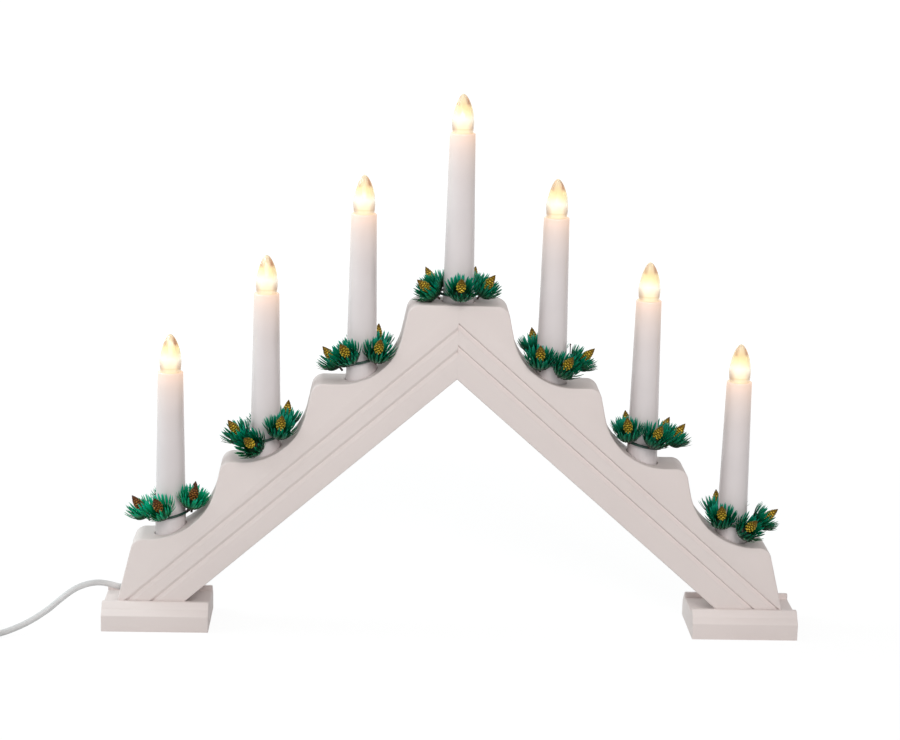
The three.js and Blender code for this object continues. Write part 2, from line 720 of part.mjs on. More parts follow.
// One unbroken tube with closed ends along points that lie nearly level
function wound(points, radius, sides) {
  const places = [];
  const faces = [];
  points.forEach((point, i) => {
    const before = points[Math.max(i - 1, 0)];
    const after = points[Math.min(i + 1, points.length - 1)];
    const way = after.clone().sub(before).normalize();
    const across = way.clone().cross(Z).normalize();
    const up = across.clone().cross(way);
    for (let j = 0; j < sides; j += 1) {
      const turn = (2 * Math.PI * (j + 0.5)) / sides;
      const place = point.clone().addScaledVector(across, radius * Math.cos(turn));
      places.push(place.addScaledVector(up, radius * Math.sin(turn)));
      const next = (j + 1) % sides;
      const [a, b] = [(i - 1) * sides + j, (i - 1) * sides + next];
      if (i > 0) faces.push(a, a + sides, b, b, a + sides, b + sides);
    }
  });
  const last = (points.length - 1) * sides;
  for (let j = 1; j < sides - 1; j += 1) {
    faces.push(0, j, j + 1);
    faces.push(last, last + j + 1, last + j);
  }
  return new THREE.BufferGeometry().setFromPoints(places).setIndex(faces);
}

// Least gap between parts of a tube that are more than half a turn apart along it
function leastGap(points, radius) {
  let least = Infinity;
  for (let i = 0; i < points.length; i += 1) {
    for (let j = i + LOOP_STEPS / 2; j + 1 < points.length; j += 1) {
      const piece = new THREE.Line3(points[j], points[j + 1]);
      const near = piece.closestPointToPoint(points[i], true, at(0, 0, 0));
      least = Math.min(least, near.distanceTo(points[i]) - 2 * radius);
    }
  }
  return least;
}

// Free stretch from the arm's end down to the table and along it, as far as the coil
const leadMouth = -armEndX(LEAD_HOLE_HEIGHT);
const coilRoute = coilPoints();
const coilWay = coilRoute[0].clone().sub(coilRoute[1]).normalize();
const leadRoute = [
  at(leadMouth + LEAD_INSIDE, 0, LEAD_HOLE_HEIGHT),
  at(leadMouth - 1, 0, LEAD_HOLE_HEIGHT + 0.4),
  at(-198.4, -2.6, 22.2),
  at(-203.6, -5.3, 23.6),
  at(-210, -8.7, 23.4),
  at(-216.5, -12.2, 21.3),
  at(-223, -15.7, 17.1),
  at(-229.5, -19.2, 12.2),
  at(-236, -22.7, 8.3),
  at(-242.5, -26.3, 5.3),
  at(-249, -30.2, 3.3),
  at(-255, -34.2, 2.3),
  at(-262, -38.4, 2.3),
  coilRoute[0].clone().addScaledVector(coilWay, 2 * LEAD_RADIUS + SEAT),
  coilRoute[0].clone().addScaledVector(coilWay, SEAT),
];

function freeLead() {
  const circle = Array.from({ length: LEAD_SIDES }, (_, i) => {
    const turn = (2 * Math.PI * i) / LEAD_SIDES;
    return new THREE.Vector2(LEAD_RADIUS * Math.cos(turn), LEAD_RADIUS * Math.sin(turn));
  });
  const path = new THREE.CatmullRomCurve3(leadRoute, false, 'centripetal');
  const steps = Math.round(path.getLength() / (4 * LEAD_RADIUS));
  return new THREE.ExtrudeGeometry(new THREE.Shape(circle), {
    steps,
    extrudePath: path,
    bevelEnabled: false,
  });
}

// Band round the bundle of turns
function coilTie() {
  const low = SEAT / 2;
  const high = coilLow + COIL_LAYER + LEAD_RADIUS + SEAT;
  const inner = COIL_INNER - COIL_PITCH / 2 - LEAD_RADIUS;
  const outer = coilOuter + COIL_PITCH / 2 + LEAD_RADIUS;
  const thick = TIE_THICKNESS;
  const outline = roundedOutline([
    [inner, low, thick],
    [outer, low, thick],
    [outer, high + thick, thick],
    [inner, high + thick, thick],
  ]);
  outline.holes.push(new THREE.Path([
    new THREE.Vector2(inner + thick, low + thick),
    new THREE.Vector2(outer - thick, low + thick),
    new THREE.Vector2(outer - thick, high),
    new THREE.Vector2(inner + thick, high),
  ]));
  const turn = radians(TIE_ANGLE);
  const outwards = at(Math.cos(turn), Math.sin(turn), 0);
  return pushed(outline, TIE_WIDTH, outwards, Z, at(COIL_X, COIL_Y, 0));
}

// Flat two-pin plug: a grip that widens to the face, a tapered nose and two round pins, along +X
function plug() {
  const grip = PLUG_GRIP_WIDTH / 2;
  const face = PLUG_WIDTH / 2;
  const start = PLUG_NOSE_LENGTH;
  const end = start + PLUG_LENGTH;
  const outline = roundedOutline([
    [start, -grip, PLUG_CORNER],
    [end - PLUG_FACE_LENGTH, -face, PLUG_CORNER],
    [end, -face, PLUG_CORNER],
    [end, face, PLUG_CORNER],
    [end - PLUG_FACE_LENGTH, face, PLUG_CORNER],
    [start, grip, PLUG_CORNER],
  ]);
  const nose = turned([
    [0, 0],
    [PLUG_NOSE_END, 0],
    [PLUG_NOSE_RADIUS, PLUG_NOSE_LENGTH],
    [PLUG_NOSE_RADIUS, PLUG_NOSE_LENGTH + PAST],
    [0, PLUG_NOSE_LENGTH + PAST],
  ], TURNED_SIDES);
  const bodies = [solid(pushed(outline, PLUG_THICKNESS, X, Y, at(0, 0, 0)))];
  bodies.push(solid(nose.rotateY(Math.PI / 2)));
  for (const sign of [-1, 1]) {
    const pin = turned([
      [0, end - PAST],
      [PIN_RADIUS, end - PAST],
      [PIN_RADIUS, end + PIN_LENGTH - PIN_RADIUS],
      [PIN_RADIUS / 2, end + PIN_LENGTH],
      [0, end + PIN_LENGTH],
    ], TURNED_SIDES);
    bodies.push(solid(pin.rotateY(Math.PI / 2).translate(0, (sign * PIN_SPACING) / 2, 0)));
  }
  return geometryOf(join(bodies));
}

// Materials

const finish = (color, roughness, metalness = 0, opacity = 1) =>
  new THREE.MeshStandardMaterial({ color, roughness, metalness, opacity, transparent: opacity < 1 });
const paintedWood = finish('#ddd6d2', 0.55);
const bareWood = finish('#d8b98a', 0.7);
const ivoryPlastic = finish('#eeeae8', 0.35);
const darkPlastic = finish('#3a3632', 0.5);
const brass = finish('#c9a24a', 0.35, 1);
const steel = finish('#b9bbbd', 0.4, 1);
const clearPlastic = finish('#fff3d8', 0.1, 0, 0.5);
const warmLight = finish('#ffd58a', 0.3);
const needleGreen = finish('#0b7a4c', 0.45);
const leadWhite = finish('#e6e6e4', 0.4);

// Assembly

const candlestick = new THREE.Group();

function add(parent, name, geometry, material) {
  const mesh = new THREE.Mesh(geometry, material);
  mesh.name = name;
  parent.add(mesh);
  return mesh;
}

const screwShape = turned(screwProfile(0), FASTENER_SIDES);
const dowelShape = dowel();
for (const [side, sign] of [['left', -1], ['right', 1]]) {
  add(candlestick, `${side}_arm`, arm(side, sign), paintedWood);
  add(candlestick, `${side}_foot`, foot(sign), paintedWood);
  for (const [place, front] of [['front', -1], ['back', 1]]) {
    const screw = add(candlestick, `${side}_foot_screw_${place}`, screwShape, steel);
    screw.position.set(sign * screwX, front * SCREW_OFFSET, SCREW_RECESS);
  }
}
for (const [place, front] of [['front', -1], ['back', 1]]) {
  const pin = add(candlestick, `mitre_dowel_${place}`, dowelShape, bareWood);
  pin.position.set(0, front * DOWEL_OFFSET, dowelHeight);
}
const besideLeft = 2 * WIRE_RADIUS + SEAT; // where the right run starts, clear of the left one
const goingDown = candleNumbers.filter((number) => number >= 0); // the left run feeds the top too
add(candlestick, 'wiring_left', wiring(-1, goingDown, 0), leadWhite);
add(candlestick, 'wiring_right', wiring(1, goingDown.slice(1), besideLeft), leadWhite);

const candleShapes = {
  candle_sleeve: [sleeve(), ivoryPlastic],
  lamp_holder: [lampHolder(), darkPlastic],
  bulb_cap: [bulbCap(), brass],
  bulb_globe: [globe(), clearPlastic],
  bulb_led: [led(), warmLight],
};
candleNumbers.forEach((number, i) => {
  const candle = new THREE.Group();
  candle.position.set(CANDLE_PITCH * number, 0, level(Math.abs(number)));
  for (const [name, [geometry, material]] of Object.entries(candleShapes)) {
    add(candle, `${name}_${i + 1}`, geometry, material);
  }
  add(candle, `needle_ring_${i + 1}`, needleRing(number), needleGreen);
  candlestick.add(candle);
});

const lead = new THREE.Group();
add(lead, 'cord', freeLead(), leadWhite);
add(lead, 'cord_coil', wound(coilRoute, LEAD_RADIUS, LOOP_SIDES), leadWhite);
add(lead, 'cord_tie', coilTie(), darkPlastic);
const plugMesh = add(lead, 'plug', plug(), leadWhite);
const tailEnd = coilRoute.at(-1);
const tailWay = tailEnd.clone().sub(coilRoute.at(-2)).normalize();
plugMesh.position.copy(tailEnd).addScaledVector(tailWay, SEAT);
plugMesh.rotation.z = Math.atan2(tailWay.y, tailWay.x);
candlestick.add(lead);

console.log(`least gap of the coil to itself: ${leastGap(coilRoute, LEAD_RADIUS).toFixed(2)} mm`);

export default candlestick;
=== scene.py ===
"""Looks of a seven-light electric advent candlestick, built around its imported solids.

Sizes are in millimetres, in the frame of the solids: +Z up, the front faces -Y, the origin on the table
midway between the feet. They become metres where a mesh is made.
"""

import random
from math import acos, ceil, cos, degrees, hypot, pi, radians, sin, sqrt, tan, tau

import bmesh
import bpy
from mathutils import Matrix, Vector

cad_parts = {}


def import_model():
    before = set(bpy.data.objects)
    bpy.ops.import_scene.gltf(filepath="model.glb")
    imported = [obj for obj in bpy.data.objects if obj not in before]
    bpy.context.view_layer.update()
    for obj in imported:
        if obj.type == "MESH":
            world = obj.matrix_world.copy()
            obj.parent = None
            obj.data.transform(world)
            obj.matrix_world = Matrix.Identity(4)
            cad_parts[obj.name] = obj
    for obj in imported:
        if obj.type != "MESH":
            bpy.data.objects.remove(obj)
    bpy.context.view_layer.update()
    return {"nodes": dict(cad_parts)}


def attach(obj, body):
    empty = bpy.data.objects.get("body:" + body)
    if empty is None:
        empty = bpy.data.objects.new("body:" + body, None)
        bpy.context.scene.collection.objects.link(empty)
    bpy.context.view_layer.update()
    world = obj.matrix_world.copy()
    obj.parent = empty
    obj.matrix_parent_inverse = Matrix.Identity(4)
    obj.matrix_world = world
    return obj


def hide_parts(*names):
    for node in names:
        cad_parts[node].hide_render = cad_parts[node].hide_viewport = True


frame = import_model()

MM = 0.001
BASE = "candlestick"  # the body that everything fixed rides on
FIRST_SEED = 700  # a ring's own number is added to it

# Camera, from lines and corners of the photographed wood
CAMERA_PLACE = (-51.6, -1264.3, 440.2)
CAMERA_YAW = 0.0379  # radians
CAMERA_PITCH = 0.2244
CAMERA_ROLL = 0.0261
CAMERA_LENS = 91.3
SENSOR_WIDTH = 36
CLIP_END = 100  # metres

# Light and floor
AMBIENT = 0.46
AMBIENT_SIDE = 0.9  # how much more of it comes from the left than from the right
AMBIENT_BACK = 0.2  # how much the backdrop adds
AMBIENT_COLOUR = (0.97, 1.0, 0.995)
# Lamps: place, target and size in metres, power, colour
LAMPS = {
    "key": ((0.25, -1.55, 1.02), (0, 0, 0.16), 0.7, 14.6, (1.0, 0.97, 0.955)),
    "side": ((-1.2, 0.12, 0.85), (-0.05, 0, 0.1), 0.6, 7.2, (0.82, 0.97, 1.0)),
}
FLOOR_HALF = 9000
FLOOR_COLOUR = (0.6, 0.6, 0.6, 1)
FLOOR_SHOWN = 0.8  # share of plain white in the floor as the camera sees it
FLOOR_WHITE = (1.14, 1.25)  # that white near the object, where its shadow shows, and far from it
FLOOR_NEAR = (0.35, 0.8)  # metres

# Noise: between these two values a material goes from one look to the other
NOISE_RANGE = (0.3, 0.7)

# Feet
SPAN = 400
FOOT_LENGTH = 61
FOOT_DEPTH = 45
FOOT_HEIGHT = 16
FOOT_FRONT = 9.3
FOOT_LIP = 2
FOOT_EASE = 1
FOOT_END_EASE = 0.6
CHANNEL_DEPTH = 3.2
QUIRK_SHARE = 0.47  # a faint line along the sloping moulding, this far up it
QUIRK_HALF = 0.35
QUIRK_DEPTH = 0.1
SCREW_OFFSET = 7
SCREW_FROM_END = 20
SCREW_HEAD_RADIUS = 4.3
SCREW_RADIUS = 2.3
SCREW_SINK = 3.9

# Arms
SEAT = 0.3
BOARD = 28
APEX_TOP = 191.5
APEX_HALF = 27.5
APEX_INNER = 148.9
UNDERSIDE_ANGLE = 41.1
STEP_RISE = 46.3
STEP_RUNS = (53.5, 51.2, 50.1)
COVE_RADII = (35, 37, 40)
SIDE_LEAN = 12
END_LEAN = 14
APEX_CORNER = 7.5
PLATEAU_CORNER = 7
MITRE_GAP = 0.02
ARM_EASE = 0.9
GROOVES = 2
# Widths of a groove's upper and lower wall, and its depth; more paint lies in the left arm's
GROOVE = {"left": (1.6, 1.9, 1.15), "right": (0.9, 2.3, 1.5)}
GROOVE_ROUND = 0.35  # half width of the rounded bottom
GROOVE_ROUND_RISE = (0.25, 0.15)  # how far that bottom rises to its upper and its lower wall
GROOVE_SPACING = 9.5
GROOVE_FROM_EDGE = {"left": 12.1, "right": 14.3}
BORE_RADIUS = 9.45
BORE_DEPTH = 20
WIRE_HOLE_RADIUS = 4
TRENCH_WIDTH = 9
TRENCH_DEPTH = 8
LEAD_HOLE_HEIGHT = 19.3
LEAD_HOLE_RADIUS = 2.45

# Cuts in the wood
CUT_PAST = 2  # how far a cut starts outside the wood
CUT_OVERLAP = 1  # how far one cut runs into the next
CUT_ABOVE = 30  # how far a bore's cut runs on above the gable
BORE_SIDES = 64
LEAD_HOLE_SIDES = 32
HOLE_SIDES = 24
SCREW_SIDES = 16
SAME = 1e-3  # coordinates nearer than this are taken as equal
STAYS_SHARP = 1  # edges this near to the mitre or the foot's channel aren't rounded

# Meshes
MERGE = 1e-7  # points nearer than this are joined, in metres
ARC_STEP = 3  # degrees
STEEP = 0.9  # a tube that rises more than this takes its first side from X instead of Z
WOOD_SHARP = 28  # edges sharper than this many degrees aren't smoothed
PLAIN_SHARP = 35

# Candles and bulbs; heights are above the candle's plateau
CANDLE_PITCH = 54
CANDLES_EACH_SIDE = 3
CANDLE_HEIGHT = 95.2
CANDLE_BASE_RADIUS = 8.85
CANDLE_TOP_RADIUS = 7.2
CANDLE_WALL = 1.3
CANDLE_RIM = 0.7
CANDLE_ROWS = 12
CANDLE_RIM_ROWS = 4
CANDLE_SIDES = 64
CAP_TOP = CANDLE_HEIGHT - 2.6  # below the rim
CAP_LENGTH = 10
CAP_RADIUS = 4.4
CAP_FOOT = 2.6  # the thread starts this far above the cap's lower end
# The cap's insulator and contact from below: radius, height above the lower end
CAP_CONTACT = ((1.2, 0), (1.9, 0.4), (2.1, 1.0), (3.4, 1.7))
CAP_ROWS = 44
CAP_SIDES = 40
THREAD_DEPTH = 0.25
THREAD_PITCH = 1.8
THREAD_FADES = (1.2, 1.6)  # lengths in which the thread rises and runs out
GLOBE_NECK_RADIUS = 5.7
GLOBE_RADIUS = 6.25
GLOBE_HEIGHT = 21.8
GLOBE_WIDEST = 6.5
GLOBE_WALL = 0.9
GLOBE_TIP_WALL = 3
GLOBE_NECK_END = 0.6  # how far below the rim the neck ends
GLOBE_SWELL_START = 0.3  # how far below the rim the globe starts to swell
GLOBE_SWELL_ROWS = 6
GLOBE_SHARP = 14
OGIVE_SWELL = 1.6
OGIVE_CLOSE = 0.6
OGIVE_ROWS = 22
HOLLOW_ROWS = 16
FACETS = 7
FACET_SIDES = 8
FACET_DEPTH = 0.1  # share of the radius, at the tip
FACET_GROWTH = 2.2  # how soon the facets become flat
GLOW_RADIUS = 3.4
GLOW_HEIGHT = 12
GLOW_STEM_RADIUS = 2.2
GLOW_STEM_END = 1  # how far below the rim the stem ends
GLOW_START = 0.2  # where on the flame's half wave its lower end lies
GLOW_POWER = 0.8
GLOW_ROWS = 14
GLOW_SIDES = 24
GLOW_FALL = 11  # the light in the tube's wall fades to a third in this length
GLOW_AT_RIM = 0.4

# Needle rings
RING_RADIUS = 11
RING_WIRE_RADIUS = 0.8
RING_HEIGHT = 12
RING_HEIGHT_APEX = 5
RING_TILT = 13
RING_STEPS = 48
WIRE_SIDES = 10
HUB_RADIUS = 13.2  # where a sprig's axis leaves the ring, from the candle's axis
HUB_LIFT = 0.3
CUP_RADIUS = 6.2
CUP_HEIGHT = 4
CUP_WALL = 0.6
CUP_ROWS = 7
CUP_RIDGE = 0.045  # share of the radius
CUP_RIDGE_FULL = 3  # radius from which the ridges have their full height
# The cup takes the dark end of the needles' colour ramp, as painted shade
CUP_PALE = 0.25  # place of the cup's rim on the needles' ramp of colours
NEEDLE_WIDTH = 1.4
NEEDLE_THICKNESS = 0.45
NEEDLE_STEPS = 7
NEEDLE_SHARP = 50
BLADE_ROOT = 0.45  # width at the root as a share of the full width
BLADE_SWELL = 1.3  # how fast it grows from there
BLADE_TAPER = (3.2, 0.7)  # powers that shape the point
BLADE_THIN = 0.4  # share of the thickness left at the tip
BLADE_LEAN = 0.8  # how far a needle's flat side looks inwards
# Places on the needles' colour ramp: the root, a level needle's tip and what a rise adds; the ramp paints
# shade at the root and light from above on rising tips
PALE_ROOT = 0.15
PALE_TIP = 0.3
PALE_RISE = 0.75
PALE_POWER = 1.5
# Tiers of a rosette from the outside in: count, then start, bend and tip of a needle as (radius, height)
TIERS = (
    (24, (6.0, 3.3), (8.3, 4.9), (10.0, 9.2)),
    (20, (5.1, 2.7), (7.1, 5.9), (8.8, 10.4)),
    (15, (3.8, 2.2), (5.6, 6.5), (7.0, 11.4)),
)
# What a needle's seeded draws range over: place in its tier, tip's spread and lift, width
TURN_DRAW = (-0.25, 0.25)
SPREAD_DRAW = (0.88, 1.1)
LIFT_DRAW = (-0.9, 1.1)
WIDTH_DRAW = (0.85, 1.2)
# A needle without room folds up in steps and is tried again
FOLDS = 6
FOLD_IN = 0.15
FOLD_UP = 0.5
FOLD_TESTS = (0.4, 0.6, 0.8, 1.0)  # shares of its length
CANDLE_CLEAR = 0.3
WOOD_CLEAR = 0.3
WOOD_LIFT = 0.4
CONE_RADIUS = 2.8
CONE_LENGTH = 10.4
CONE_START = 5.4
CONE_ROWS = 8
CONE_COLUMNS = 7
CONE_ROW_STEPS = 5
CONE_COLUMN_STEPS = 6
CONE_SUNK = 0.86  # share of the radius between the scales
CONE_SCALE = 0.22  # what a scale adds to that share
CONE_EGG = (0.15, 0.85)  # where on a half wave the cone starts, and the wave's power
CONE_TAPER = (1.08, 0.75)
CONE_SCALE_POWERS = (2.2, 0.8)  # across a scale and up it
CONE_BARE = 0.3  # from this share of its length on the cone loses its gold
CONE_FADE = 0.8  # how much of it is lost at the tip
CONE_FADE_POWER = 1.6
CONE_SHARP = 60
CONE_MERGE = 1e-9  # metres
# Each ring's sprigs as bent by hand: degrees round the candle, rise in degrees, shift up the sprig's axis
SPRIGS = {
    1: ((-101, 60, 2), (-31, 60, 3), (-165, 72, 1), (95, 60, 1), (28, 65, -2)),
    2: ((-113, 40, -6), (-52, 60, 0.5), (-155, 66, 1), (36, 62, 1), (92, 60, 0)),
    3: ((-113, 60, 2), (-51, 58, -1), (-172, 62, -2.5), (50, 60, 0.5), (93, 60, 0)),
    4: ((-88, 50, -1), (152, 60, -1.5), (-160, 38, -3), (-27, 56, -1), (61, 60, -2.3)),
    5: ((-121, 60, -3.3), (-67, 55, -4.5), (133, 60, 0), (-8, 60, 0.5), (92, 60, 0)),
    6: ((-134, 60, 1.5), (-78, 62, 3), (45, 70, 0.6), (-12, 66, 3), (123, 60, -1.8)),
    7: ((-124, 60, -2), (-66, 52, -4.8), (-5, 55, 1.5), (120, 65, -2.5), (88, 60, 0)),
}
SPRIG_JITTER = 3  # degrees
FRESH_RING = 1  # the ring with lighter needles and brown cones
STUB_RADIUS = 0.65
STUB_LENGTH = 2.6
STUB_ROOT = 0.6
STUB_BEND = 0.6  # share of the way from the ring to the root
STUB_SIDES = 8
STUB_WOOD_CLEAR = 1
STICKS = {1: (151, 12), 5: (-20, 14)}  # upright wire ends: degrees round the candle, height
STICK_RADIUS = 0.28
STICK_KNOB = 0.55
STICK_KNOB_FROM = 0.94
STICK_KNOB_TO = 0.99
STICK_STEPS = 24

# Lead
LEAD_RADIUS = 1.75
LEAD_CURVE_STEPS = 6
LEAD_BEVEL_STEPS = 4
COIL_X = -294
COIL_Y = -18
COIL_INNER = 13
COIL_TURNS = 4
COIL_PITCH = 4.1
COIL_LAYER = 4.1
COIL_START = -62
COIL_CLIMB = 0.25
COIL_EXTRA = 43
COIL_TAIL = 22
COIL_LOW = 2.95
LOOP_STEPS = 48
TAIL_STEPS = 6
TAIL_CLIMB_STEPS = 4
TIE_WIDTH = 6
TIE_THICKNESS = 0.6
TIE_ANGLE = 150
TIE_CORNER = 2.4
TIE_INNER_CORNER = 1.9
PLUG_THICKNESS = 13.7

# Values that follow from the sizes above
ARM_BASE = FOOT_HEIGHT - CHANNEL_DEPTH + SEAT
UNDERSIDE_TAN = tan(radians(UNDERSIDE_ANGLE))
SIDE_TAN = tan(radians(SIDE_LEAN))
END_TAN = tan(radians(END_LEAN))
PLATEAU_ENDS = [APEX_HALF + sum(STEP_RUNS[:k]) for k in range(len(STEP_RUNS) + 1)]
CANDLE_NUMBERS = range(-CANDLES_EACH_SIDE, CANDLES_EACH_SIDE + 1)
UP = Vector((0, 0, 1))


def level(step):
    return APEX_TOP - step * STEP_RISE


def arm_end_x(z):
    return PLATEAU_ENDS[-1] + END_TAN * (level(len(STEP_RUNS)) - z)


def underside_x(z):
    return (APEX_INNER - z) / UNDERSIDE_TAN


def cove(step):
    """Centre and radius of the hollow that leads down to a plateau."""
    radius = COVE_RADII[step - 1]
    x = PLATEAU_ENDS[step - 1] + SIDE_TAN * (STEP_RISE - radius)
    return x + radius / cos(radians(SIDE_LEAN)), level(step) + radius, radius


def arm_top(x):
    """Height of the arm's wavy top edge."""
    away = abs(x)
    step = next((k for k, end in enumerate(PLATEAU_ENDS) if away <= end), None)
    if step is None:
        return ARM_BASE
    if step == 0:
        return level(0)
    centre_x, centre_z, radius = cove(step)
    if away >= centre_x:
        return level(step)
    if away < centre_x - radius * cos(radians(SIDE_LEAN)):
        return level(step - 1) - (away - PLATEAU_ENDS[step - 1]) / SIDE_TAN
    return centre_z - sqrt(radius**2 - (centre_x - away) ** 2)


def lerp(a, b, share):
    return a + (b - a) * share


def held(share):
    return max(0.0, min(1.0, share))


def smooth(share):
    """A share that starts and ends gently."""
    return share * share * (3 - 2 * share)


# Mesh helpers


def new_mesh(name, verts, faces, values=None):
    """A mesh in metres from points in millimetres; values maps an attribute to one number a point."""
    mesh = bpy.data.meshes.new(name)
    mesh.from_pydata([Vector(v) * MM for v in verts], [], faces)
    for key, numbers in (values or {}).items():
        mesh.attributes.new(key, "FLOAT", "POINT").data.foreach_set("value", numbers)
    return mesh


def edited(mesh, work):
    """The mesh after work on its points, edges and faces."""
    shape = bmesh.new()
    shape.from_mesh(mesh)
    work(shape)
    shape.to_mesh(mesh)
    shape.free()
    return mesh


def outward(mesh):
    """Turns all faces of a closed mesh outwards."""
    return edited(mesh, lambda shape: bmesh.ops.recalc_face_normals(shape, faces=shape.faces))


def merged(mesh, distance=MERGE):
    """Joins points that coincide, such as those of a lathe on its axis."""

    def join(shape):
        bmesh.ops.remove_doubles(shape, verts=shape.verts, dist=distance)
        bmesh.ops.dissolve_degenerate(shape, edges=shape.edges, dist=distance)
        bmesh.ops.recalc_face_normals(shape, faces=shape.faces)

    return edited(mesh, join)


def eased(mesh, width, chosen, segments=3):
    """Rounds the edges that chosen(edge) picks."""

    def bevel(shape):
        bmesh.ops.recalc_face_normals(shape, faces=shape.faces)
        shape.normal_update()
        edges = [edge for edge in shape.edges if chosen(edge)]
        settings = {"segments": segments, "profile": 0.5, "affect": "EDGES", "clamp_overlap": True}
        bmesh.ops.bevel(shape, geom=edges, offset=width * MM, **settings)

    return edited(mesh, bevel)


def linked(name, data):
    """A new object in the scene."""
    thing = bpy.data.objects.new(name, data)
    bpy.context.scene.collection.objects.link(thing)
    return thing


def place(name, mesh, material, body, replaced, at=(0, 0, 0), sharp=PLAIN_SHARP):
    """An object of that mesh on a body, smooth apart from edges sharper than an angle."""
    thing = linked(name, mesh)
    if not mesh.materials:
        mesh.materials.append(material)
    mesh.shade_smooth()
    mesh.set_sharp_from_angle(angle=radians(sharp))
    thing.location = Vector(at) * MM
    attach(thing, body)
    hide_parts(*replaced)
    return thing


def around(radius, height, k, count):
    """The k-th of count points round the Z axis."""
    turn = tau * k / count
    return radius * cos(turn), radius * sin(turn), height


def bands(rows, sides, first=0, closed=False, capped=False):
    """Faces between rows of points; closed joins the last row to the first, capped fills both ends."""
    faces = []
    for row in range(rows if closed else rows - 1):
        low, high = first + row * sides, first + (row + 1) % rows * sides
        for k in range(sides):
            after = (k + 1) % sides
            faces.append((low + k, low + after, high + after, high + k))
    if capped:
        top = first + (rows - 1) * sides
        faces.append(tuple(first + k for k in reversed(range(sides))))
        faces.append(tuple(top + k for k in range(sides)))
    return faces


def lathe(profile, sides):
    """Points and faces of a (radius, height) profile turned about Z; a closed one repeats its start."""
    closed = profile[0] == profile[-1]
    rows = profile[:-1] if closed else profile
    verts = [around(*row, k, sides) for row in rows for k in range(sides)]
    return verts, bands(len(rows), sides, closed=closed)


def turned(name, profile, sides):
    return merged(new_mesh(name, *lathe(profile, sides)))


def tube(points, radius, sides, verts, faces):
    """Adds a closed tube to lists of points and faces; radius may be a function of the share."""
    points = [Vector(p) for p in points]
    first = len(verts)
    side = None
    for i, point in enumerate(points):
        way = (points[min(i + 1, len(points) - 1)] - points[max(i - 1, 0)]).normalized()
        guide = side or (UP if abs(way.z) < STEEP else Vector((1, 0, 0)))
        side = (guide - way * guide.dot(way)).normalized()
        other = way.cross(side)
        wide = radius(i / (len(points) - 1)) if callable(radius) else radius
        for k in range(sides):
            across, up, _ = around(1, 0, k, sides)
            verts.append(point + wide * (across * side + up * other))
    faces += bands(len(points), sides, first, capped=True)


def bar_mesh(start, end, radius, sides):
    verts, faces = [], []
    tube([start, end], radius, sides, verts, faces)
    return new_mesh("bar", verts, faces)


def rounded(corners):
    """Outline through corners (x, z, radius), each rounded by an arc; one without a radius stays sharp."""
    outline = []
    for i, (x, z, *rest) in enumerate(corners):
        corner = Vector((x, z))
        radius = rest[0] if rest else 0
        if not radius:
            outline.append(corner)
            continue
        before = (Vector(corners[i - 1][:2]) - corner).normalized()
        after = (Vector(corners[(i + 1) % len(corners)][:2]) - corner).normalized()
        half = acos(max(-1, min(1, before.dot(after)))) / 2
        centre = corner + (before + after).normalized() * (radius / sin(half))
        start = corner + before * (radius / tan(half)) - centre
        end = corner + after * (radius / tan(half)) - centre
        sweep = start.angle_signed(end)
        count = max(2, ceil(abs(degrees(sweep)) / ARC_STEP))
        for k in range(count + 1):
            turn = -sweep * k / count
            c, s = cos(turn), sin(turn)
            outline.append(centre + Vector((start.x * c - start.y * s, start.x * s + start.y * c)))
    return outline


def prism(outline, low, high, to_point):
    """Points and faces of an outline pushed from low to high; to_point turns (a, b, along) into a point."""
    count = len(outline)
    verts = [to_point(p[0], p[1], along) for along in (low, high) for p in outline]
    faces = [tuple(range(count)), tuple(reversed(range(count, 2 * count)))]
    for k in range(count):
        after = (k + 1) % count
        faces.append((k, count + k, count + after, after))
    return verts, faces


def cut(mesh, tools):
    """The mesh with each tool's space taken out of it."""
    body = linked("uncut", mesh)
    cutters = [linked("cutter", outward(tool)) for tool in tools]
    for cutter in cutters:
        step = body.modifiers.new("cut", "BOOLEAN")
        step.operation = "DIFFERENCE"
        step.solver = "EXACT"
        step.object = cutter
    bpy.context.view_layer.update()
    done = bpy.data.meshes.new_from_object(body.evaluated_get(bpy.context.evaluated_depsgraph_get()))
    for thing in [body, *cutters]:
        bpy.data.objects.remove(thing)
    done.name = mesh.name
    return done


# Material helpers


class Nodes:
    """Short calls for the nodes of a tree."""

    def __init__(self, tree):
        self.nodes, self.links = tree.nodes, tree.links

    def node(self, kind, inputs=None, **settings):
        made = self.nodes.new(kind)
        for key, value in settings.items():
            setattr(made, key, value)
        for key, value in (inputs or {}).items():
            self.feed(made.inputs[key], value)
        return made

    def feed(self, socket, value):
        if isinstance(value, bpy.types.NodeSocket):
            self.links.new(value, socket)
        else:
            socket.default_value = value

    def here(self, kind="Object"):
        return self.node("ShaderNodeTexCoord").outputs[kind]

    def split(self, vector):
        """X, Y and Z of a place or direction."""
        return self.node("ShaderNodeSeparateXYZ", {"Vector": vector}).outputs

    def math(self, operation, a, b=0.0):
        return self.node("ShaderNodeMath", {0: a, 1: b}, operation=operation).outputs[0]

    def times(self, a, *others):
        for other in others:
            a = self.math("MULTIPLY", a, other)
        return a

    def span(self, value, low, high, to_low=0.0, to_high=1.0):
        """The value's stretch from low to high, mapped to another and held at its ends."""
        inputs = {"Value": value, "From Min": low, "From Max": high, "To Min": to_low, "To Max": to_high}
        return self.node("ShaderNodeMapRange", inputs).outputs["Result"]

    def mix(self, share, a, b):
        a, b = (c if isinstance(c, bpy.types.NodeSocket) else (*c, 1.0) for c in (a, b))
        return self.node("ShaderNodeMix", {"Factor": share, 6: a, 7: b}, data_type="RGBA").outputs[2]


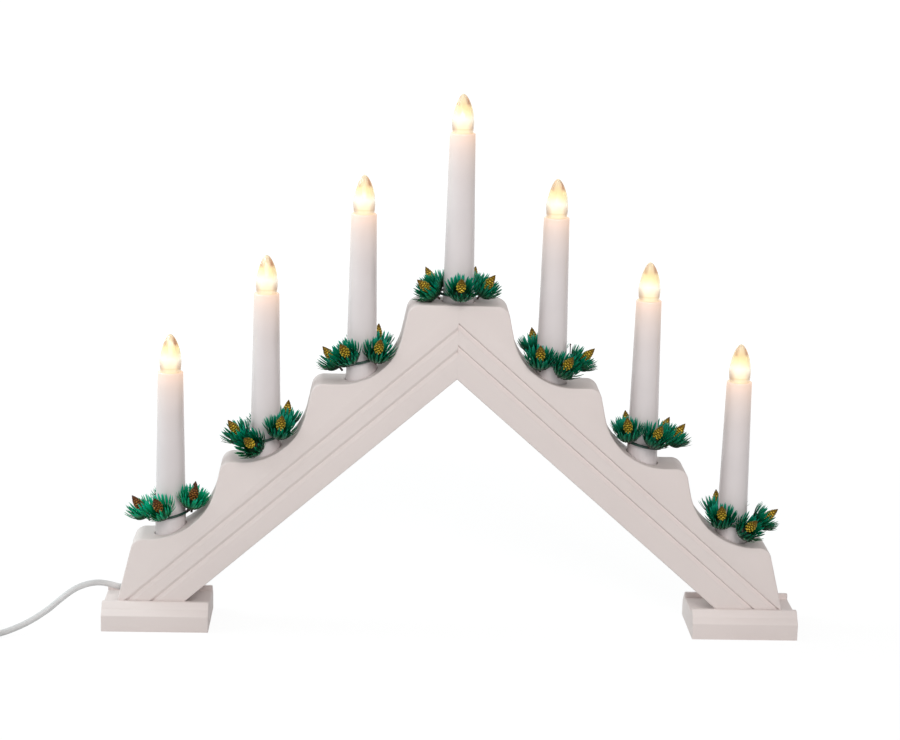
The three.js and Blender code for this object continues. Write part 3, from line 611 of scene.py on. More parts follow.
class Shader(Nodes):
    """A material with a Principled shader."""

    def __init__(self, name, **sockets):
        self.material = bpy.data.materials.new(name)
        self.material.use_nodes = True
        super().__init__(self.material.node_tree)
        self.main = self.nodes["Principled BSDF"]
        for key, value in sockets.items():
            self.set(key.replace("_", " "), value)

    def set(self, key, value):
        self.feed(self.main.inputs[key], value)

    def noise(self, scale, stretch=(1, 1, 1), detail=3.0, roughness=0.5):
        spot = self.node("ShaderNodeMapping", {"Vector": self.here(), "Scale": stretch}).outputs["Vector"]
        inputs = {"Vector": spot, "Scale": scale, "Detail": detail, "Roughness": roughness}
        return self.node("ShaderNodeTexNoise", inputs).outputs["Fac"]

    def between(self, noise, low, high):
        """A number that goes from low to high with a noise."""
        return self.span(noise, *NOISE_RANGE, low, high)

    def ramp(self, value, stops):
        """Colour along stops of (place, colour)."""
        made = self.node("ShaderNodeValToRGB", {"Fac": value})
        band = made.color_ramp.elements
        while len(band) < len(stops):
            band.new(1.0)
        for element, (spot, colour) in zip(band, stops):
            element.position = spot
            element.color = (*colour, 1.0)
        return made.outputs["Color"]

    def blend(self, noise, colour, paler):
        """A colour that goes from one to another with a noise."""
        return self.ramp(noise, list(zip(NOISE_RANGE, (colour, paler))))

    def attribute(self, name):
        return self.node("ShaderNodeAttribute", attribute_name=name).outputs["Fac"]

    def bump(self, height, strength, distance):
        inputs = {"Height": height, "Strength": strength, "Distance": distance * MM}
        before = self.main.inputs["Normal"].links
        if before:
            inputs["Normal"] = before[0].from_socket
        self.set("Normal", self.node("ShaderNodeBump", inputs).outputs["Normal"])


# Materials


def painted_wood():
    """Satin white paint on wood: faint blotches, brushed grain and a few rubbed spots."""
    paint = Shader("painted_wood", IOR=1.5)
    blotch = paint.noise(14, detail=4)
    grain = paint.noise(26, stretch=(1, 5, 9), detail=5, roughness=0.6)
    colour = paint.blend(blotch, (0.742, 0.655, 0.634), (0.777, 0.691, 0.668))
    rubbed = paint.span(paint.noise(130, detail=6, roughness=0.7), 0.7, 0.78)
    paint.set("Base Color", paint.mix(paint.times(rubbed, 0.35), colour, (0.62, 0.53, 0.48)))
    paint.set("Roughness", paint.between(grain, 0.46, 0.62))
    paint.bump(grain, 0.12, 0.25)
    paint.bump(paint.noise(900, detail=2), 0.08, 0.06)
    return paint.material


def bare_wood():
    wood = Shader("bare_wood", Roughness=0.7)
    rings = wood.noise(60, stretch=(1, 6, 6), detail=6)
    wood.set("Base Color", wood.blend(rings, (0.5, 0.32, 0.15), (0.72, 0.52, 0.29)))
    wood.bump(rings, 0.2, 0.1)
    return wood.material


def candle_plastic():
    """Smooth white plastic that the bulb lights through its wall near the rim."""
    wax = Shader("candle_plastic", IOR=1.49, Emission_Color=(1.0, 0.46, 0.1, 1.0))
    below = wax.math("SUBTRACT", CANDLE_HEIGHT * MM, wax.split(wax.here())["Z"])
    fall = wax.math("EXPONENT", wax.times(below, -1 / (GLOW_FALL * MM)))
    wax.set("Emission Strength", wax.times(fall, GLOW_AT_RIM))
    wax.set("Base Color", wax.blend(wax.noise(60), (0.725, 0.668, 0.672), (0.755, 0.696, 0.7)))
    wax.set("Roughness", wax.between(wax.noise(240, stretch=(1, 1, 0.2)), 0.17, 0.26))
    wax.bump(wax.noise(320, stretch=(1, 1, 0.15)), 0.05, 0.05)
    return wax.material


def clear_bulb():
    """Clear warm plastic: bright where the light is, gold above it, painted amber refraction in the facets
    near the tip, stronger on the right, and painted shade on the lower sides.
    """
    shell = Shader("clear_bulb", IOR=1.45, Transmission_Weight=0.4, Emission_Strength=1.0)
    x, y, z = shell.split(shell.here())
    share = shell.span(z, CANDLE_HEIGHT * MM, (CANDLE_HEIGHT + GLOBE_HEIGHT) * MM)
    drift = shell.math("ADD", share, shell.between(shell.noise(160, detail=2), -0.04, 0.04))
    lit = shell.ramp(drift, [
        (0.0, (0.15, 0.12, 0.08)),
        (0.2, (0.15, 0.13, 0.09)),
        (0.37, (0.18, 0.17, 0.15)),
        (0.52, (0.16, 0.14, 0.075)),
        (0.66, (0.15, 0.11, 0.045)),
        (0.74, (0.12, 0.08, 0.03)),
        (1.0, (0.14, 0.12, 0.07)),
    ])
    clear = shell.ramp(drift, [
        (0.0, (0.92, 0.83, 0.68)),
        (0.2, (0.93, 0.85, 0.72)),
        (0.37, (0.98, 0.96, 0.88)),
        (0.55, (0.97, 0.91, 0.68)),
        (0.68, (0.96, 0.86, 0.58)),
        (0.75, (0.95, 0.84, 0.6)),
        (1.0, (0.97, 0.92, 0.76)),
    ])
    turn = shell.math("ARCTAN2", x, y)
    thirds = shell.math("COSINE", shell.times(turn, 3.0))
    halves = shell.math("COSINE", shell.times(turn, 2.0))
    right = shell.span(x, -0.2 * GLOBE_RADIUS * MM, 0.2 * GLOBE_RADIUS * MM, 0.45, 0.85)
    near_tip = shell.times(shell.span(drift, 0.68, 0.76), shell.span(share, 1.0, 0.86))
    # Painted refraction: amber in the facets near the tip, stronger on the right side
    amber = shell.times(near_tip, right, shell.span(thirds, -0.4, 0.9))
    # Painted shade on the lower left and right sides of the globe
    low = shell.times(shell.span(drift, 0.03, 0.1), shell.span(drift, 0.34, 0.16))
    shade = shell.times(low, shell.span(halves, 0.5, -0.6, 0.0, 0.6))
    seam = shell.times(shell.span(share, 0.08, 0.1), shell.span(share, 0.14, 0.12, 0.0, 0.5))
    warm = shell.mix(seam, shell.mix(amber, clear, (0.46, 0.18, 0.08)), (0.8, 0.66, 0.36))
    shell.set("Base Color", shell.mix(shade, warm, (0.62, 0.44, 0.37)))
    lit = shell.mix(amber, lit, (0.09, 0.035, 0.015))
    shell.set("Emission Color", shell.mix(shade, lit, (0.05, 0.03, 0.02)))
    shell.set("Roughness", shell.between(shell.noise(500), 0.14, 0.22))
    return shell.material


def glow():
    """The lit core of a bulb, whitest at its middle."""
    core = Shader("bulb_glow", Roughness=0.5, Base_Color=(1.0, 0.9, 0.7, 1.0))
    height = core.split(core.here())["Z"]
    share = core.span(height, CANDLE_HEIGHT * MM, (CANDLE_HEIGHT + GLOW_HEIGHT) * MM)
    warm = core.ramp(share, [(0, (1, 0.8, 0.5)), (0.5, (1, 0.93, 0.78)), (1, (1, 0.72, 0.36))])
    core.set("Emission Color", warm)
    core.set("Emission Strength", core.between(core.noise(300), 0.9, 1.2))
    return core.material


def needle_plastic(name, dark, bright, tip):
    """Thin moulded green plastic: darker in the cup and at the roots as painted shade, paler at the tips as
    painted light, most on needles that rise, each needle a little different.
    """
    green = Shader(name, IOR=1.47, Specular_IOR_Level=0.14)
    green.set("Subsurface Weight", 0.45)
    green.set("Subsurface Scale", 0.0015)
    green.set("Subsurface Radius", (0.15, 1.0, 0.6))
    colour = green.ramp(green.attribute("along"), [(0.2, dark), (0.65, bright), (1.0, tip)])
    green.set("Base Color", green.mix(green.times(green.attribute("own"), 0.4), colour, dark))
    green.set("Roughness", green.between(green.noise(700), 0.24, 0.38))
    green.bump(green.noise(1500), 0.15, 0.05)
    return green.material


def cone_paint(name, brown, gold):
    """Gold on the scales' crests, brown between them and at the tip."""
    paint = Shader(name, Metallic=0.8)
    crest = paint.attribute("crest")
    worn = paint.math("ADD", crest, paint.between(paint.noise(900), -0.08, 0.08))
    paint.set("Base Color", paint.ramp(worn, [(0.08, brown), (0.4, gold)]))
    paint.set("Roughness", paint.span(crest, 0.0, 1.0, 0.55, 0.28))
    return paint.material


def wire_paint(name, colour, paler):
    wire = Shader(name, Roughness=0.5)
    wire.set("Base Color", wire.blend(wire.noise(400), colour, paler))
    wire.bump(wire.noise(900), 0.3, 0.08)
    return wire.material


def vinyl(name, colour, paler):
    """Smooth soft plastic with a slight mottle."""
    skin = Shader(name, IOR=1.5)
    skin.set("Base Color", skin.blend(skin.noise(120, detail=4), colour, paler))
    skin.set("Roughness", skin.between(skin.noise(600), 0.36, 0.46))
    skin.bump(skin.noise(1400), 0.06, 0.04)
    return skin.material


def metal(name, colour, paler, roughness):
    sheet = Shader(name, Metallic=1.0)
    scuff = sheet.noise(300, stretch=(1, 1, 8), detail=5)
    sheet.set("Base Color", sheet.blend(scuff, colour, paler))
    sheet.set("Roughness", sheet.between(scuff, *roughness))
    sheet.bump(scuff, 0.08, 0.03)
    return sheet.material


PAINT = painted_wood()
BARE_WOOD = bare_wood()
CANDLE = candle_plastic()
BULB = clear_bulb()
GLOW = glow()
BRASS = metal("brass_sheet", (0.5, 0.33, 0.1), (0.78, 0.56, 0.22), (0.25, 0.42))
STEEL = metal("zinc_steel", (0.4, 0.4, 0.41), (0.6, 0.6, 0.6), (0.3, 0.45))
DARK = vinyl("dark_plastic", (0.025, 0.024, 0.022), (0.05, 0.048, 0.045))
WHITE = vinyl("lead_vinyl", (0.62, 0.61, 0.61), (0.68, 0.67, 0.67))
# Needle greens: dark for the painted shade in cups and at roots, bright, and pale tips for painted light
EMERALD = needle_plastic("needles_emerald", (0.0, 0.03, 0.01), (0.0, 0.15, 0.075), (0.02, 0.42, 0.28))
FRESH = needle_plastic("needles_fresh", (0.0, 0.065, 0.017), (0.0, 0.36, 0.16), (0.03, 0.62, 0.4))
GOLD = cone_paint("cone_gold", (0.1, 0.052, 0.003), (0.62, 0.43, 0.04))
RUSSET = cone_paint("cone_russet", (0.055, 0.018, 0.007), (0.36, 0.14, 0.026))
GREEN_WIRE = wire_paint("green_wire", (0.002, 0.018, 0.012), (0.004, 0.045, 0.03))
BROWN_WIRE = wire_paint("brown_wire", (0.02, 0.008, 0.006), (0.05, 0.02, 0.014))


# Camera, floor and light


def camera():
    flat = cos(CAMERA_PITCH)
    ahead = Vector((sin(CAMERA_YAW) * flat, cos(CAMERA_YAW) * flat, -sin(CAMERA_PITCH)))
    right = Vector((cos(CAMERA_YAW), -sin(CAMERA_YAW), 0))
    up = right.cross(ahead)
    rolled_right = right * cos(CAMERA_ROLL) + up * sin(CAMERA_ROLL)
    rolled_up = up * cos(CAMERA_ROLL) - right * sin(CAMERA_ROLL)
    stance = Matrix((rolled_right, rolled_up, -ahead)).transposed().to_4x4()
    eye = linked("camera", bpy.data.cameras.new("camera"))
    eye.matrix_world = Matrix.Translation(Vector(CAMERA_PLACE) * MM) @ stance
    eye.data.lens = CAMERA_LENS
    eye.data.sensor_width = SENSOR_WIDTH
    eye.data.clip_end = CLIP_END
    bpy.context.scene.camera = eye


def seen_directly(tree):
    """1 for rays that come from the camera, a mirror or through glass, 0 for those that carry light."""
    path = tree.node("ShaderNodeLightPath").outputs
    mirrored = tree.math("MAXIMUM", path["Is Camera Ray"], path["Is Glossy Ray"])
    return tree.math("MAXIMUM", mirrored, path["Is Transmission Ray"])


def world():
    """White behind everything; as light, a soft dome that is brighter on the left and towards the back."""
    made = bpy.data.worlds.new("studio")
    bpy.context.scene.world = made
    made.use_nodes = True
    sky = Nodes(made.node_tree)
    plain = sky.nodes["Background"].inputs
    shown = seen_directly(sky)
    way = sky.split(sky.here("Generated"))
    dome = sky.span(way["X"], -1.0, 1.0, AMBIENT * (1 + AMBIENT_SIDE), AMBIENT * (1 - AMBIENT_SIDE))
    back = sky.span(way["Y"], 0.0, 1.0, 0.0, AMBIENT_BACK)
    sky.feed(plain["Color"], sky.mix(shown, AMBIENT_COLOUR, (1, 1, 1)))
    sky.feed(plain["Strength"], sky.span(shown, 0.0, 1.0, sky.math("ADD", dome, back), 1.0))


def floor():
    corners = [(FLOOR_HALF * x, FLOOR_HALF * y, 0) for x, y in ((-1, -1), (1, -1), (1, 1), (-1, 1))]
    ground = linked("floor", new_mesh("floor", corners, [(0, 1, 2, 3)]))
    sheet = Shader("floor")
    sheet.nodes.remove(sheet.main)
    paper = sheet.node("ShaderNodeBsdfDiffuse", {"Color": FLOOR_COLOUR}).outputs[0]
    away = sheet.node("ShaderNodeVectorMath", {0: sheet.here()}, operation="LENGTH").outputs["Value"]
    paler = sheet.span(away, *FLOOR_NEAR, *FLOOR_WHITE)
    white = sheet.node("ShaderNodeEmission", {"Strength": paler}).outputs[0]
    share = sheet.times(seen_directly(sheet), FLOOR_SHOWN)
    both = sheet.node("ShaderNodeMixShader", {"Fac": share, 1: paper, 2: white}).outputs[0]
    sheet.feed(sheet.nodes["Material Output"].inputs["Surface"], both)
    ground.data.materials.append(sheet.material)


def lamp(name, spot, target, size, power, colour):
    light = bpy.data.lights.new(name, "AREA")
    light.color = colour
    light.shape = "DISK"
    light.size = size
    light.energy = power
    thing = linked(name, light)
    thing.location = spot
    thing.rotation_euler = (Vector(target) - Vector(spot)).to_track_quat("-Z", "Y").to_euler()


camera()
world()
floor()
bpy.context.scene.view_settings.view_transform = "Standard"
for name, settings in LAMPS.items():
    lamp(name, *settings)


# Lead, coil, tie and plug


def coil_points():
    """In along the lower layer, up in the half turn where it reverses, out along the upper one."""
    spin = 2 * COIL_TURNS + COIL_EXTRA / 360
    count = round(spin * LOOP_STEPS)
    points = []
    for i in range(count + 1):
        turns = i / count * spin
        from_reverse = turns - spin / 2
        climb = smooth(held((from_reverse + COIL_CLIMB) / (2 * COIL_CLIMB)))
        radius = COIL_INNER + abs(from_reverse) * COIL_PITCH
        angle = radians(COIL_START) - turns * tau
        x, y = COIL_X + radius * cos(angle), COIL_Y + radius * sin(angle)
        points.append(Vector((x, y, COIL_LOW + climb * COIL_LAYER)))
    return points


COIL = coil_points()
COIL_WAY = (COIL[0] - COIL[2]).normalized()
TAIL_WAY = (COIL[-1] - COIL[-2]).normalized()
TAIL_WAY.z = 0
TAIL_END = COIL[-1] + TAIL_WAY * COIL_TAIL
TAIL_END.z = PLUG_THICKNESS / 2
LEAD_MOUTH = -arm_end_x(LEAD_HOLE_HEIGHT)
# The lead's free stretch, from inside its hole to the coil
LEAD_ROUTE = [
    (LEAD_MOUTH + 3, 0, LEAD_HOLE_HEIGHT),
    (LEAD_MOUTH - 1, 0, LEAD_HOLE_HEIGHT + 0.4),
    (-198.4, -2.6, 22.2),
    (-203.6, -5.3, 23.6),
    (-210, -8.7, 23.4),
    (-216.5, -12.2, 21.3),
    (-223, -15.7, 17.1),
    (-229.5, -19.2, 12.2),
    (-236, -22.7, 8.3),
    (-242.5, -26.3, 5.3),
    (-249, -30.2, 3.3),
    (-255, -34.2, 2.3),
    (-262, -38.4, 2.3),
    tuple(COIL[0] + COIL_WAY * 2 * LEAD_RADIUS),
]


def passing(p, q, low, high, t):
    """The place at t on a line that passes p at low and q at high."""
    return p * ((high - t) / (high - low)) + q * ((t - low) / (high - low))


def smooth_through(points, steps):
    """Points of a centripetal curve through given points, without the last."""
    points = [Vector(p) for p in points]
    ends = [2 * points[0] - points[1], *points, 2 * points[-1] - points[-2]]
    dense = []
    for a, b, c, d in zip(ends, ends[1:], ends[2:], ends[3:]):
        at_a = 0.0
        at_b = at_a + sqrt((b - a).length)
        at_c = at_b + sqrt((c - b).length)
        at_d = at_c + sqrt((d - c).length)
        for k in range(steps):
            t = lerp(at_b, at_c, k / steps)
            middle = passing(b, c, at_b, at_c, t)
            before = passing(passing(a, b, at_a, at_b, t), middle, at_a, at_c, t)
            after = passing(middle, passing(c, d, at_c, at_d, t), at_b, at_d, t)
            dense.append(passing(before, after, at_b, at_c, t))
    return dense


def lead():
    tail = []
    for k in range(1, TAIL_STEPS + 1):
        point = COIL[-1].lerp(TAIL_END, k / TAIL_STEPS)
        point.z = lerp(COIL[-1].z, TAIL_END.z, smooth(held(k / TAIL_CLIMB_STEPS)))
        tail.append(point)
    points = smooth_through([*LEAD_ROUTE, tuple(COIL[0])], LEAD_CURVE_STEPS) + COIL + tail
    line = bpy.data.curves.new("lead", "CURVE")
    line.dimensions = "3D"
    line.bevel_depth = LEAD_RADIUS * MM
    line.bevel_resolution = LEAD_BEVEL_STEPS
    line.use_fill_caps = True
    spline = line.splines.new("POLY")
    spline.points.add(len(points) - 1)
    for spot, point in zip(spline.points, points):
        spot.co = (*(point * MM), 1)
    spline.use_smooth = True
    line.materials.append(WHITE)
    cable = linked("lead", line)
    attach(cable, BASE)
    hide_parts("cord", "cord_coil")
    return cable


def coil_tie():
    """A flat closed band round the bundle."""
    low = SEAT / 2
    high = COIL_LOW + COIL_LAYER + LEAD_RADIUS + SEAT
    inner = COIL_INNER - COIL_PITCH / 2 - LEAD_RADIUS
    outer = COIL_INNER + COIL_TURNS * COIL_PITCH + COIL_PITCH / 2 + LEAD_RADIUS

    def loop(inset, corner):
        left, right = inner + inset, outer - inset
        floor_z, top_z = low + inset, high + TIE_THICKNESS - inset
        return rounded([(x, z, corner) for x, z in (
            (left, floor_z), (right, floor_z), (right, top_z), (left, top_z)
        )])

    outside, inside = loop(0, TIE_CORNER), loop(TIE_THICKNESS, TIE_INNER_CORNER)
    turn = radians(TIE_ANGLE)
    out, across = Vector((cos(turn), sin(turn), 0)), Vector((-sin(turn), cos(turn), 0))
    middle = Vector((COIL_X, COIL_Y, 0))
    half = TIE_WIDTH / 2
    verts = []
    for outline, side in ((outside, -half), (outside, half), (inside, half), (inside, -half)):
        verts += [middle + out * p[0] + across * side + UP * p[1] for p in outline]
    mesh = outward(new_mesh("coil_tie", verts, bands(4, len(outside), closed=True)))
    return place("coil_tie", mesh, DARK, BASE, ["cord_tie"])


cable = lead()
tie = coil_tie()


# Wood


def ends_of(edge):
    return (v.co / MM for v in edge.verts)


def arm_outline():
    corners = [(MITRE_GAP / 2, APEX_INNER), (MITRE_GAP / 2, APEX_TOP)]
    for step in range(1, len(PLATEAU_ENDS)):
        end = PLATEAU_ENDS[step - 1]
        corners.append((end, level(step - 1), APEX_CORNER if step == 1 else PLATEAU_CORNER))
        corners.append((end + SIDE_TAN * STEP_RISE, level(step), COVE_RADII[step - 1]))
    corners.append((PLATEAU_ENDS[-1], level(len(STEP_RUNS)), PLATEAU_CORNER))
    corners.append((arm_end_x(ARM_BASE), ARM_BASE))
    corners.append((underside_x(ARM_BASE), ARM_BASE))
    return rounded(corners)


def arm_cuts(side, sign):
    """Tools for the grooves, the wire trench, the candles' bores and wire holes, and the lead's hole."""
    slope = radians(UNDERSIDE_ANGLE)
    inward = Vector((sign * sin(slope), 0, cos(slope)))
    along = Vector((sign * cos(slope), 0, -sin(slope)))
    reach = underside_x(ARM_BASE)
    middle = Vector((sign * reach / 2, 0, (APEX_INNER + ARM_BASE) / 2))

    def along_underside(name, outline, origin):
        def to_point(a, b, c):
            return origin + inward * a + along * c + Vector((0, b, 0))

        return new_mesh(name, *prism(outline, -reach, reach, to_point))

    tools = []
    upper, lower, depth = GROOVE[side]
    vee = [
        (-2 * lower, -depth),
        (2 * upper, -depth),
        (GROOVE_ROUND, depth - GROOVE_ROUND_RISE[0]),
        (0, depth),
        (-GROOVE_ROUND, depth - GROOVE_ROUND_RISE[1]),
    ]
    for count in range(GROOVES):
        centre = middle + inward * (GROOVE_FROM_EDGE[side] + count * GROOVE_SPACING)
        centre.y = -BOARD / 2
        tools.append(along_underside("groove", vee, centre))
    half = TRENCH_WIDTH / 2
    trench = [(-CUT_PAST, -half), (TRENCH_DEPTH, -half), (TRENCH_DEPTH, half), (-CUT_PAST, half)]
    tools.append(along_underside("trench", trench, middle))
    for number in range(CANDLES_EACH_SIDE + 1):
        x = sign * CANDLE_PITCH * number
        bottom = level(number) - BORE_DEPTH
        tools.append(bar_mesh((x, 0, bottom), (x, 0, APEX_TOP + CUT_ABOVE), BORE_RADIUS, BORE_SIDES))
        low = max(APEX_INNER - abs(x) * UNDERSIDE_TAN, LEAD_HOLE_HEIGHT)
        tools.append(bar_mesh((x, 0, low), (x, 0, bottom + CUT_OVERLAP), WIRE_HOLE_RADIUS, HOLE_SIDES))
    if side == "left":
        inner = (-underside_x(LEAD_HOLE_HEIGHT + TRENCH_DEPTH), 0, LEAD_HOLE_HEIGHT)
        outer = (-SPAN / 2, 0, LEAD_HOLE_HEIGHT)
        tools.append(bar_mesh(inner, outer, LEAD_HOLE_RADIUS, LEAD_HOLE_SIDES))
    return tools


def arm(side, sign):
    board = prism(arm_outline(), -BOARD / 2, BOARD / 2, lambda x, z, y: (sign * x, y, z))
    mesh = new_mesh(f"{side}_arm", *board)

    def on_rim(edge):
        a, b = ends_of(edge)
        same_face = abs(a.y - b.y) < SAME
        at_mitre = max(abs(a.x), abs(b.x)) < STAYS_SHARP
        in_foot = max(a.z, b.z) < ARM_BASE + STAYS_SHARP
        return same_face and not at_mitre and not in_foot

    eased(mesh, ARM_EASE, on_rim)
    wood = merged(cut(mesh, arm_cuts(side, sign)))
    place(f"{side}_arm_board", wood, PAINT, BASE, [f"{side}_arm"], sharp=WOOD_SHARP)


def foot_outline():
    """Section of a foot: a moulded front, the channel for the arm, and the front's mirror image."""
    depth = FOOT_DEPTH / 2
    channel = BOARD / 2 + SEAT
    low, high = Vector((depth, FOOT_FRONT)), Vector((channel + FOOT_LIP, FOOT_HEIGHT))
    quirk = low.lerp(high, QUIRK_SHARE)
    slope = (high - low).normalized()
    half = [
        (depth, 0),
        (*low, FOOT_EASE),
        tuple(quirk - slope * QUIRK_HALF),
        tuple(quirk + Vector((-slope.y, slope.x)) * QUIRK_DEPTH),
        tuple(quirk + slope * QUIRK_HALF),
        (*high, FOOT_EASE),
        (channel, FOOT_HEIGHT),
        (channel, FOOT_HEIGHT - CHANNEL_DEPTH),
    ]
    return rounded(half + [(-y, *rest) for y, *rest in reversed(half)])


def foot(side, sign):
    start = sign * (SPAN / 2 - FOOT_LENGTH / 2) - FOOT_LENGTH / 2
    block = prism(foot_outline(), start, start + FOOT_LENGTH, lambda y, z, x: (x, y, z))
    mesh = new_mesh(f"{side}_foot", *block)

    def at_end(edge):
        a, b = ends_of(edge)
        return abs(a.x - b.x) < SAME and max(a.z, b.z) > SAME

    eased(mesh, FOOT_END_EASE, at_end, segments=2)
    x = sign * (SPAN / 2 - SCREW_FROM_END)
    tools = []
    for y in (-SCREW_OFFSET, SCREW_OFFSET):
        shank = SCREW_SINK - CUT_OVERLAP
        tools.append(bar_mesh((x, y, -CUT_PAST), (x, y, SCREW_SINK), SCREW_HEAD_RADIUS, HOLE_SIDES))
        tools.append(bar_mesh((x, y, shank), (x, y, FOOT_HEIGHT), SCREW_RADIUS, SCREW_SIDES))
    wood = merged(cut(mesh, tools))
    place(f"{side}_foot_block", wood, PAINT, BASE, [f"{side}_foot"], sharp=WOOD_SHARP)


for side, sign in (("left", -1), ("right", 1)):
    arm(side, sign)
    foot(side, sign)


# Candles and bulbs


def candle_radius(height):
    return lerp(CANDLE_BASE_RADIUS, CANDLE_TOP_RADIUS, max(height, 0) / CANDLE_HEIGHT)


def sleeve_mesh():
    bottom = SEAT - BORE_DEPTH
    inner = CANDLE_BASE_RADIUS - CANDLE_WALL
    profile = [(inner, bottom), (CANDLE_BASE_RADIUS, bottom), (CANDLE_BASE_RADIUS, 0)]
    for k in range(1, CANDLE_ROWS + 1):
        height = (CANDLE_HEIGHT - CANDLE_RIM) * k / CANDLE_ROWS
        profile.append((candle_radius(height), height))
    for k in range(1, CANDLE_RIM_ROWS + 1):
        turn = pi / 2 * k / CANDLE_RIM_ROWS
        radius = CANDLE_TOP_RADIUS - CANDLE_RIM * (1 - cos(turn))
        profile.append((radius, CANDLE_HEIGHT - CANDLE_RIM * (1 - sin(turn))))
    profile.append((CANDLE_TOP_RADIUS - CANDLE_WALL, CANDLE_HEIGHT))
    profile.append((inner, 0))
    profile.append(profile[0])
    return turned("candle_sleeve", profile, CANDLE_SIDES)


def ogive(radius, widest, tip, count):
    points = []
    for k in range(count):
        share = k / (count - 1)
        points.append((radius * (1 - share**OGIVE_SWELL) ** OGIVE_CLOSE, lerp(widest, tip, share)))
    return points


def globe_mesh():
    """Pointed globe with a hollow, its outside cut into long facets that deepen towards the tip."""
    bottom = CAP_TOP + SEAT
    widest, tip = CANDLE_HEIGHT + GLOBE_WIDEST, CANDLE_HEIGHT + GLOBE_HEIGHT
    neck = GLOBE_NECK_RADIUS - GLOBE_WALL
    outside = [(GLOBE_NECK_RADIUS, bottom), (GLOBE_NECK_RADIUS, CANDLE_HEIGHT - GLOBE_NECK_END)]
    for k in range(GLOBE_SWELL_ROWS):
        share = k / GLOBE_SWELL_ROWS
        radius = lerp(GLOBE_NECK_RADIUS, GLOBE_RADIUS, sin(pi / 2 * share))
        outside.append((radius, lerp(CANDLE_HEIGHT - GLOBE_SWELL_START, widest, share)))
    outside += ogive(GLOBE_RADIUS, widest, tip, OGIVE_ROWS)
    inside = ogive(GLOBE_RADIUS - GLOBE_WALL, widest, tip - GLOBE_TIP_WALL, HOLLOW_ROWS)[::-1]
    inside += [(neck, CANDLE_HEIGHT), (neck, bottom)]
    sides = FACETS * FACET_SIDES
    verts, faces = lathe([*outside, *inside, outside[0]], sides)
    for k, (x, y, z) in enumerate(verts[:len(outside) * sides]):
        share = max(0.0, (z - widest) / (tip - widest))
        off = k % sides / sides * FACETS % 1.0 - 0.5
        flat = cos(pi / FACETS) / cos(off * tau / FACETS)
        shrink = lerp(1.0, flat, min(1.0, share * FACET_GROWTH)) * (1 - FACET_DEPTH * share * off**2)
        verts[k] = (x * shrink, y * shrink, z)
    return merged(new_mesh("bulb_globe", verts, faces))


def glow_mesh():
    """Lit core: a stem from the cap and a flame-shaped body."""
    bottom, start = CAP_TOP + SEAT, CANDLE_HEIGHT - GLOW_STEM_END
    profile = [(0, bottom), (GLOW_STEM_RADIUS, bottom), (GLOW_STEM_RADIUS, start)]
    for k in range(1, GLOW_ROWS + 1):
        share = k / GLOW_ROWS
        radius = GLOW_RADIUS * sin(pi * lerp(GLOW_START, 1.0, share)) ** GLOW_POWER
        profile.append((max(radius, 0), lerp(start, CANDLE_HEIGHT + GLOW_HEIGHT, share)))
    return turned("bulb_glow", profile, GLOW_SIDES)


def cap_mesh():
    """Screw cap with a rolled thread and a contact at its foot."""
    bottom = CAP_TOP - CAP_LENGTH
    low = bottom + CAP_FOOT
    rows = [(radius, bottom + height, 0) for radius, height in CAP_CONTACT]
    for row in range(CAP_ROWS + 1):
        height = lerp(low, CAP_TOP, row / CAP_ROWS)
        fade = held(min((height - low) / THREAD_FADES[0], (CAP_TOP - height) / THREAD_FADES[1]))
        rows.append((CAP_RADIUS, height, THREAD_DEPTH * fade))
    verts = []
    for radius, height, depth in rows:
        for k in range(CAP_SIDES):
            wave = cos(tau * (height / THREAD_PITCH - k / CAP_SIDES))
            verts.append(around(radius + depth * wave, height, k, CAP_SIDES))
    return merged(new_mesh("bulb_cap", verts, bands(len(rows), CAP_SIDES, capped=True)))


SLEEVE, GLOBE, CORE, CAP = sleeve_mesh(), globe_mesh(), glow_mesh(), cap_mesh()
for i, number in enumerate(CANDLE_NUMBERS, 1):
    spot = (CANDLE_PITCH * number, 0, level(abs(number)))
    bulb = f"bulb_{i}"
    place(f"candle_tube_{i}", SLEEVE, CANDLE, BASE, [f"candle_sleeve_{i}"], spot)
    place(f"{bulb}_shell", GLOBE, BULB, bulb, [f"bulb_globe_{i}"], spot, GLOBE_SHARP)
    place(f"{bulb}_core", CORE, GLOW, bulb, [f"bulb_led_{i}"], spot)
    place(f"{bulb}_cap", CAP, BRASS, bulb, [f"bulb_cap_{i}"], spot)


# Needle rings


class Cluster:
    """Points, faces and shading values of many small shapes in one mesh."""

    def __init__(self):
        self.verts, self.faces, self.along, self.own = [], [], [], []

    def add(self, verts, faces, along, own):
        first = len(self.verts)
        self.verts += verts
        self.faces += [tuple(first + k for k in face) for face in faces]
        self.along += along
        self.own += [own] * len(verts)

    def mesh(self, name, along="along"):
        return new_mesh(name, self.verts, self.faces, {along: self.along, "own": self.own})


def bent(start, bend, tip, share):
    return start.lerp(bend, share).lerp(bend.lerp(tip, share), share)


def blade(start, bend, tip, flat, width):
    """A needle along a bent line: a flat pointed blade, its faces turned towards a direction."""
    verts, along = [], []
    for k in range(NEEDLE_STEPS):
        share = k / NEEDLE_STEPS
        point = bent(start, bend, tip, share)
        way = (bend.lerp(tip, share) - start.lerp(bend, share)).normalized()
        across = way.cross(flat).normalized()
        lift = across.cross(way)
        point_on = (1 - share ** BLADE_TAPER[0]) ** BLADE_TAPER[1]
        wide = width / 2 * (min(1.0, BLADE_ROOT + BLADE_SWELL * share) * point_on)
        thick = NEEDLE_THICKNESS / 2 * lerp(1.0, BLADE_THIN, share)
        verts += [point - across * wide, point + lift * thick, point + across * wide, point - lift * thick]
        along += [share] * 4
    verts.append(tip)
    along.append(1.0)
    last = 4 * (NEEDLE_STEPS - 1)
    faces = [(3, 2, 1, 0), *bands(NEEDLE_STEPS, 4)]
    faces += [(last + side, last + (side + 1) % 4, len(verts) - 1) for side in range(4)]
    return verts, faces, along


